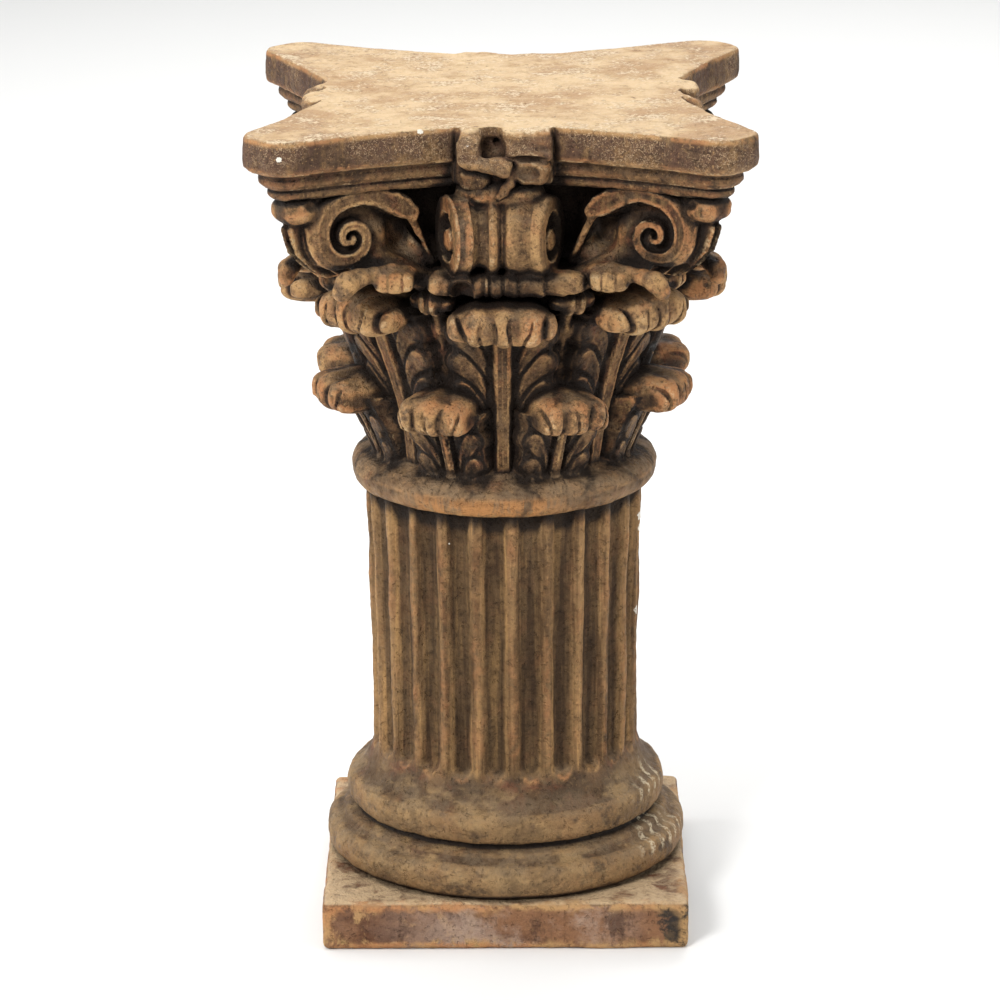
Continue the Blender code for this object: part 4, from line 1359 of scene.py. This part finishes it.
def plinth_sides(s):
    """Ochre towards the left, a pale haze, dark stains and a black right-hand corner."""
    haze = s.noise(0.045, 5.0, 0.65, offset=13.0)
    stain = s.noise(0.020, 6.0, 0.70, stretch=(1.0, 1.0, 0.6), offset=21.0)
    return s.layers(
        (0.115, 0.048, 0.024),
        ((0.250, 0.120, 0.058), s.cloud.band(0.40, 0.60)),
        ((0.430, 0.250, 0.105), s.patch.band(0.50, 0.60), s.x.band(0.02, -0.10)),
        ((0.450, 0.320, 0.240), haze.band(0.40, 0.60), s.x.band(0.110, 0.070),
         s.x.band(-0.100, -0.020, 0.15, 1.0), 0.75),
        ((0.055, 0.026, 0.017), stain.band(0.54, 0.66, 0.0, 0.70)),
        ((0.470, 0.290, 0.120), stain.band(0.46, 0.38), s.z.band(0.012, 0.004)),
        ((0.030, 0.024, 0.020), (s.x + s.patch * 0.05).band(0.136, 0.142),
         s.upward.band(0.9, 0.5)))


def rubbed_edges_and_highlights(s, below):
    """Ochre on what stands proud, partly rubbed and partly painted highlight, less on the slab's
    bands and sooty mouldings.
    """
    tint = s.layers((0.480, 0.215, 0.085),
                    ((0.510, 0.300, 0.125), s.cloud.band(0.40, 0.60)),
                    ((0.330, 0.205, 0.088), s.mouldings, 0.75))
    bend = s.worn + s.broad * 0.50
    return s.layers(
        below,
        # Painted shade: the slab's bands darkened, as they lie under the fascia
        ((0.045, 0.025, 0.015), s.slab_bands, 0.45),
        # Ochre on proud places: partly rubbed wear, partly painted highlight
        (tint, bend.band(0.03, 0.20), (s.fine + s.patch).band(0.80, 1.06), s.open_place,
         0.88 - s.slab_bands * 0.55, 1.0 - s.mouldings * 0.40),
        ((0.085, 0.052, 0.027), s.cloud.band(0.52, 0.64), s.fine.band(0.42, 0.56), s.mouldings,
         0.55))


def fascia_and_ring(s, below):
    """The dark side of the slab, the orange patch on the ring's front, and pale edges, partly bare
    and partly painted highlight.
    """
    patch_middle = -0.012
    return s.layers(
        below,
        ((0.085, 0.046, 0.030), s.fascia, s.patch.band(0.40, 0.56, 0.20, 0.80)),
        ((0.480, 0.215, 0.070), abs(s.x - patch_middle).band(0.070, 0.030),
         s.y.band(-0.05, -0.09), s.z.band(0.3385, 0.3320), s.ring, s.streak.band(0.40, 0.54),
         0.80),
        # Pale edges and rims: partly bare stone, partly painted highlight
        ((0.66, 0.46, 0.25), s.worn.band(0.10, 0.24), (s.grain + s.fine).band(0.96, 1.16),
         s.carved, 0.75))


def dust(s, below):
    """Grey dust on what faces up, and the pale ledge on top of the plinth."""
    film = s.noise(0.016, 5.0, 0.66, offset=9.0)
    return s.layers(
        below,
        ((0.210, 0.150, 0.092), s.upward.band(0.10, 0.75), film.band(0.36, 0.62), 0.48),
        ((0.600, 0.430, 0.255), s.plinth, s.upward.band(0.5, 0.9), s.patch.band(0.66, 0.44),
         0.85))


def crackle_and_grit(s, below):
    """Pale crackle on the slab's sides, dark grit on all the carving, and pale glints on it,
    painted as highlight.
    """
    from_crack = abs(s.noise(0.0030, 3.0, 0.6, offset=4.4) - 0.5)
    return s.layers(
        below,
        ((0.58, 0.40, 0.23), from_crack.band(0.036, 0.008), s.cloud.band(0.44, 0.58),
         s.open_place, s.grain.band(0.42, 0.56), s.z.band(0.575, 0.592, 0.0, 0.85)),
        ((0.026, 0.014, 0.008), s.grain.band(0.52, 0.66, 0.0, 0.60),
         s.z.band(TOP - 0.003, TOP - 0.006), s.carved),
        # Pale glints on the open carving: painted highlight
        ((0.50, 0.30, 0.13), s.grain.band(0.42, 0.30, 0.0, 0.60), s.open_place, s.carved))


def top_face(s):
    """The pale top, with brown patches, dark specks and browner horns."""
    from_origin = s.measure("LENGTH", s.place)
    return s.layers(
        (0.440, 0.270, 0.130),
        ((0.640, 0.460, 0.260), s.cloud.band(0.38, 0.60)),
        ((0.330, 0.185, 0.085), s.patch.band(0.50, 0.64, 0.0, 0.75)),
        ((0.160, 0.082, 0.038), s.fine.band(0.58, 0.72, 0.0, 0.75)),
        ((0.300, 0.170, 0.082), from_origin.band(0.622, 0.645), s.patch.band(0.40, 0.58), 0.70),
        ((0.740, 0.600, 0.400), (s.grain + s.patch).band(1.04, 1.18, 0.0, 0.80)))


def scrapes(s, below):
    """Pale slanting scrapes on the right of the mouldings."""
    middle = -0.052
    slant = s.y * 0.8 - s.z * 0.6
    strokes = s.math("SINE", slant * 700 + s.smudge * 9)
    return s.layers(
        below,
        ((0.760, 0.640, 0.440), (strokes + s.fine * 2).band(1.0, 1.9), s.mouldings,
         s.x.band(0.090, 0.104), s.smudge.band(0.62, 0.50), abs(s.y - middle).band(0.042, 0.026),
         s.upward.band(0.0, 0.35), s.grain.band(0.40, 0.56), 0.65))


def stone():
    """Brown cast stone: rubbed ochre and painted highlight, grey dust on top, black grime and
    painted shade in the hollows.
    """
    s = Stone()
    colour = s.layers(raw_stone(s), (plinth_sides(s), s.plinth, s.upward.band(0.6, 0.3)))
    for coat in (rubbed_edges_and_highlights, fascia_and_ring, dust, crackle_and_grit):
        colour = coat(s, colour)
    # How dark a point is painted: the recess mark, partly grime and partly painted shade, with
    # noise
    dirt_and_shade = s.recess + (s.fine + s.cloud) * 0.20
    colour = s.layers(
        colour,
        (top_face(s), s.z.band(TOP - 0.0030, TOP - 0.0008), s.upward.band(0.50, 0.92)),
        (BLACK_DIRT_AND_SHADE, dirt_and_shade.band(0.38, 0.84), 0.95))
    chips = [(CHIP_WHITE, s.near((x, y, z), size, s.grain)) for x, y, z, size in CHIPS]
    s.feed(s.surface.inputs["Base Color"], s.layers(scrapes(s, colour), *chips))
    s.feed(s.surface.inputs["Roughness"], s.fine.band(0.3, 0.7, 0.48, 0.72))
    s.surface.inputs["Specular IOR Level"].default_value = 0.20
    pits = s.noise(0.0034, 2.0, 0.5, offset=6.0).band(0.60, 0.70)
    bump = s.node("ShaderNodeBump", {"Height": s.grain * 1.2 + s.fine * 1.8 - pits,
                                     "Distance": 0.0016, "Strength": 0.95})
    s.feed(s.surface.inputs["Normal"], bump.outputs["Normal"])
    return s.material


def floor():
    far = 4.0
    made = mesh_object("floor", [(-far, -far, 0), (far, -far, 0), (far, far, 0), (-far, far, 0)],
                       [(0, 1, 2, 3)])
    material = bpy.data.materials.new("pale_floor")
    material.use_nodes = True
    surface = material.node_tree.nodes["Principled BSDF"]
    surface.inputs["Base Color"].default_value = (0.80, 0.80, 0.79, 1)
    surface.inputs["Roughness"].default_value = 0.9
    made.data.materials.append(material)


# The soft lights, as name, place, size and power
LIGHTS = (("overhead", (-0.2, 0.8, 3.6), 3.2, 84), ("key", (-1.5, -2.5, 2.3), 0.9, 92),
          ("right_rim", (2.6, -0.9, 1.3), 1.6, 38), ("left_rim", (-2.6, 0.2, 1.1), 1.6, 30),
          ("back", (0.4, 3.4, 2.6), 2.4, 60))


def light(name, place, size, power):
    """A square soft light that faces the middle of the pedestal."""
    data = bpy.data.lights.new(name, "AREA")
    data.size = size
    data.energy = power
    made = new_object(name, data)
    made.location = place
    aim = Vector((0, 0, 0.35)) - Vector(place)
    made.rotation_euler = aim.to_track_quat("-Z", "Y").to_euler()


def studio():
    for row in LIGHTS:
        light(*row)
    world = bpy.data.worlds.new("studio")
    world.use_nodes = True
    sky = world.node_tree.nodes["Background"]
    sky.inputs["Color"].default_value = (1.0, 1.0, 1.0, 1)
    sky.inputs["Strength"].default_value = 0.34
    bpy.context.scene.world = world
    bpy.context.scene.view_settings.view_transform = "Standard"


def camera():
    """The photograph's view: how far off, how steep and how turned the camera stood."""
    distance, aim_level = 3.3334, 0.30134
    pitch, yaw, roll = 0.2971, -0.0047, -0.0061
    focal_pixels, photo_pixels = 4521.7, 1000
    data = bpy.data.cameras.new("camera")
    data.sensor_width = 36.0
    data.lens = focal_pixels / photo_pixels * data.sensor_width
    data.shift_x = -0.00405
    data.shift_y = 0.00093
    data.clip_end = 20
    made = new_object("camera", data)
    back = Vector((-sin(yaw) * cos(pitch), -cos(yaw) * cos(pitch), sin(pitch)))
    made.location = Vector((0, 0, aim_level)) + distance * back
    made.rotation_mode = "QUATERNION"
    facing = (-back).to_track_quat("-Z", "Y")
    made.rotation_quaternion = facing @ Matrix.Rotation(roll, 4, "Z").to_quaternion()
    bpy.context.scene.camera = made


def declare(piece):
    piece.data.shade_smooth()
    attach(piece, "root")
    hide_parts(NODE)


camera()
studio()
floor()
finish_coat = stone()
sides = sides_tree()
tiers = (("lower_leaves", lower_leaves()), ("upper_leaves", upper_leaves()),
         ("scroll_tier", scroll_tier()), ("slab_top", slab_top()))
all_blocks = [block for _, block in tiers]
for tier_name, tier_block in tiers:
    declare(capital_piece(tier_name, tier_block, all_blocks, finish_coat, sides))
declare(base_and_shaft(finish_coat))
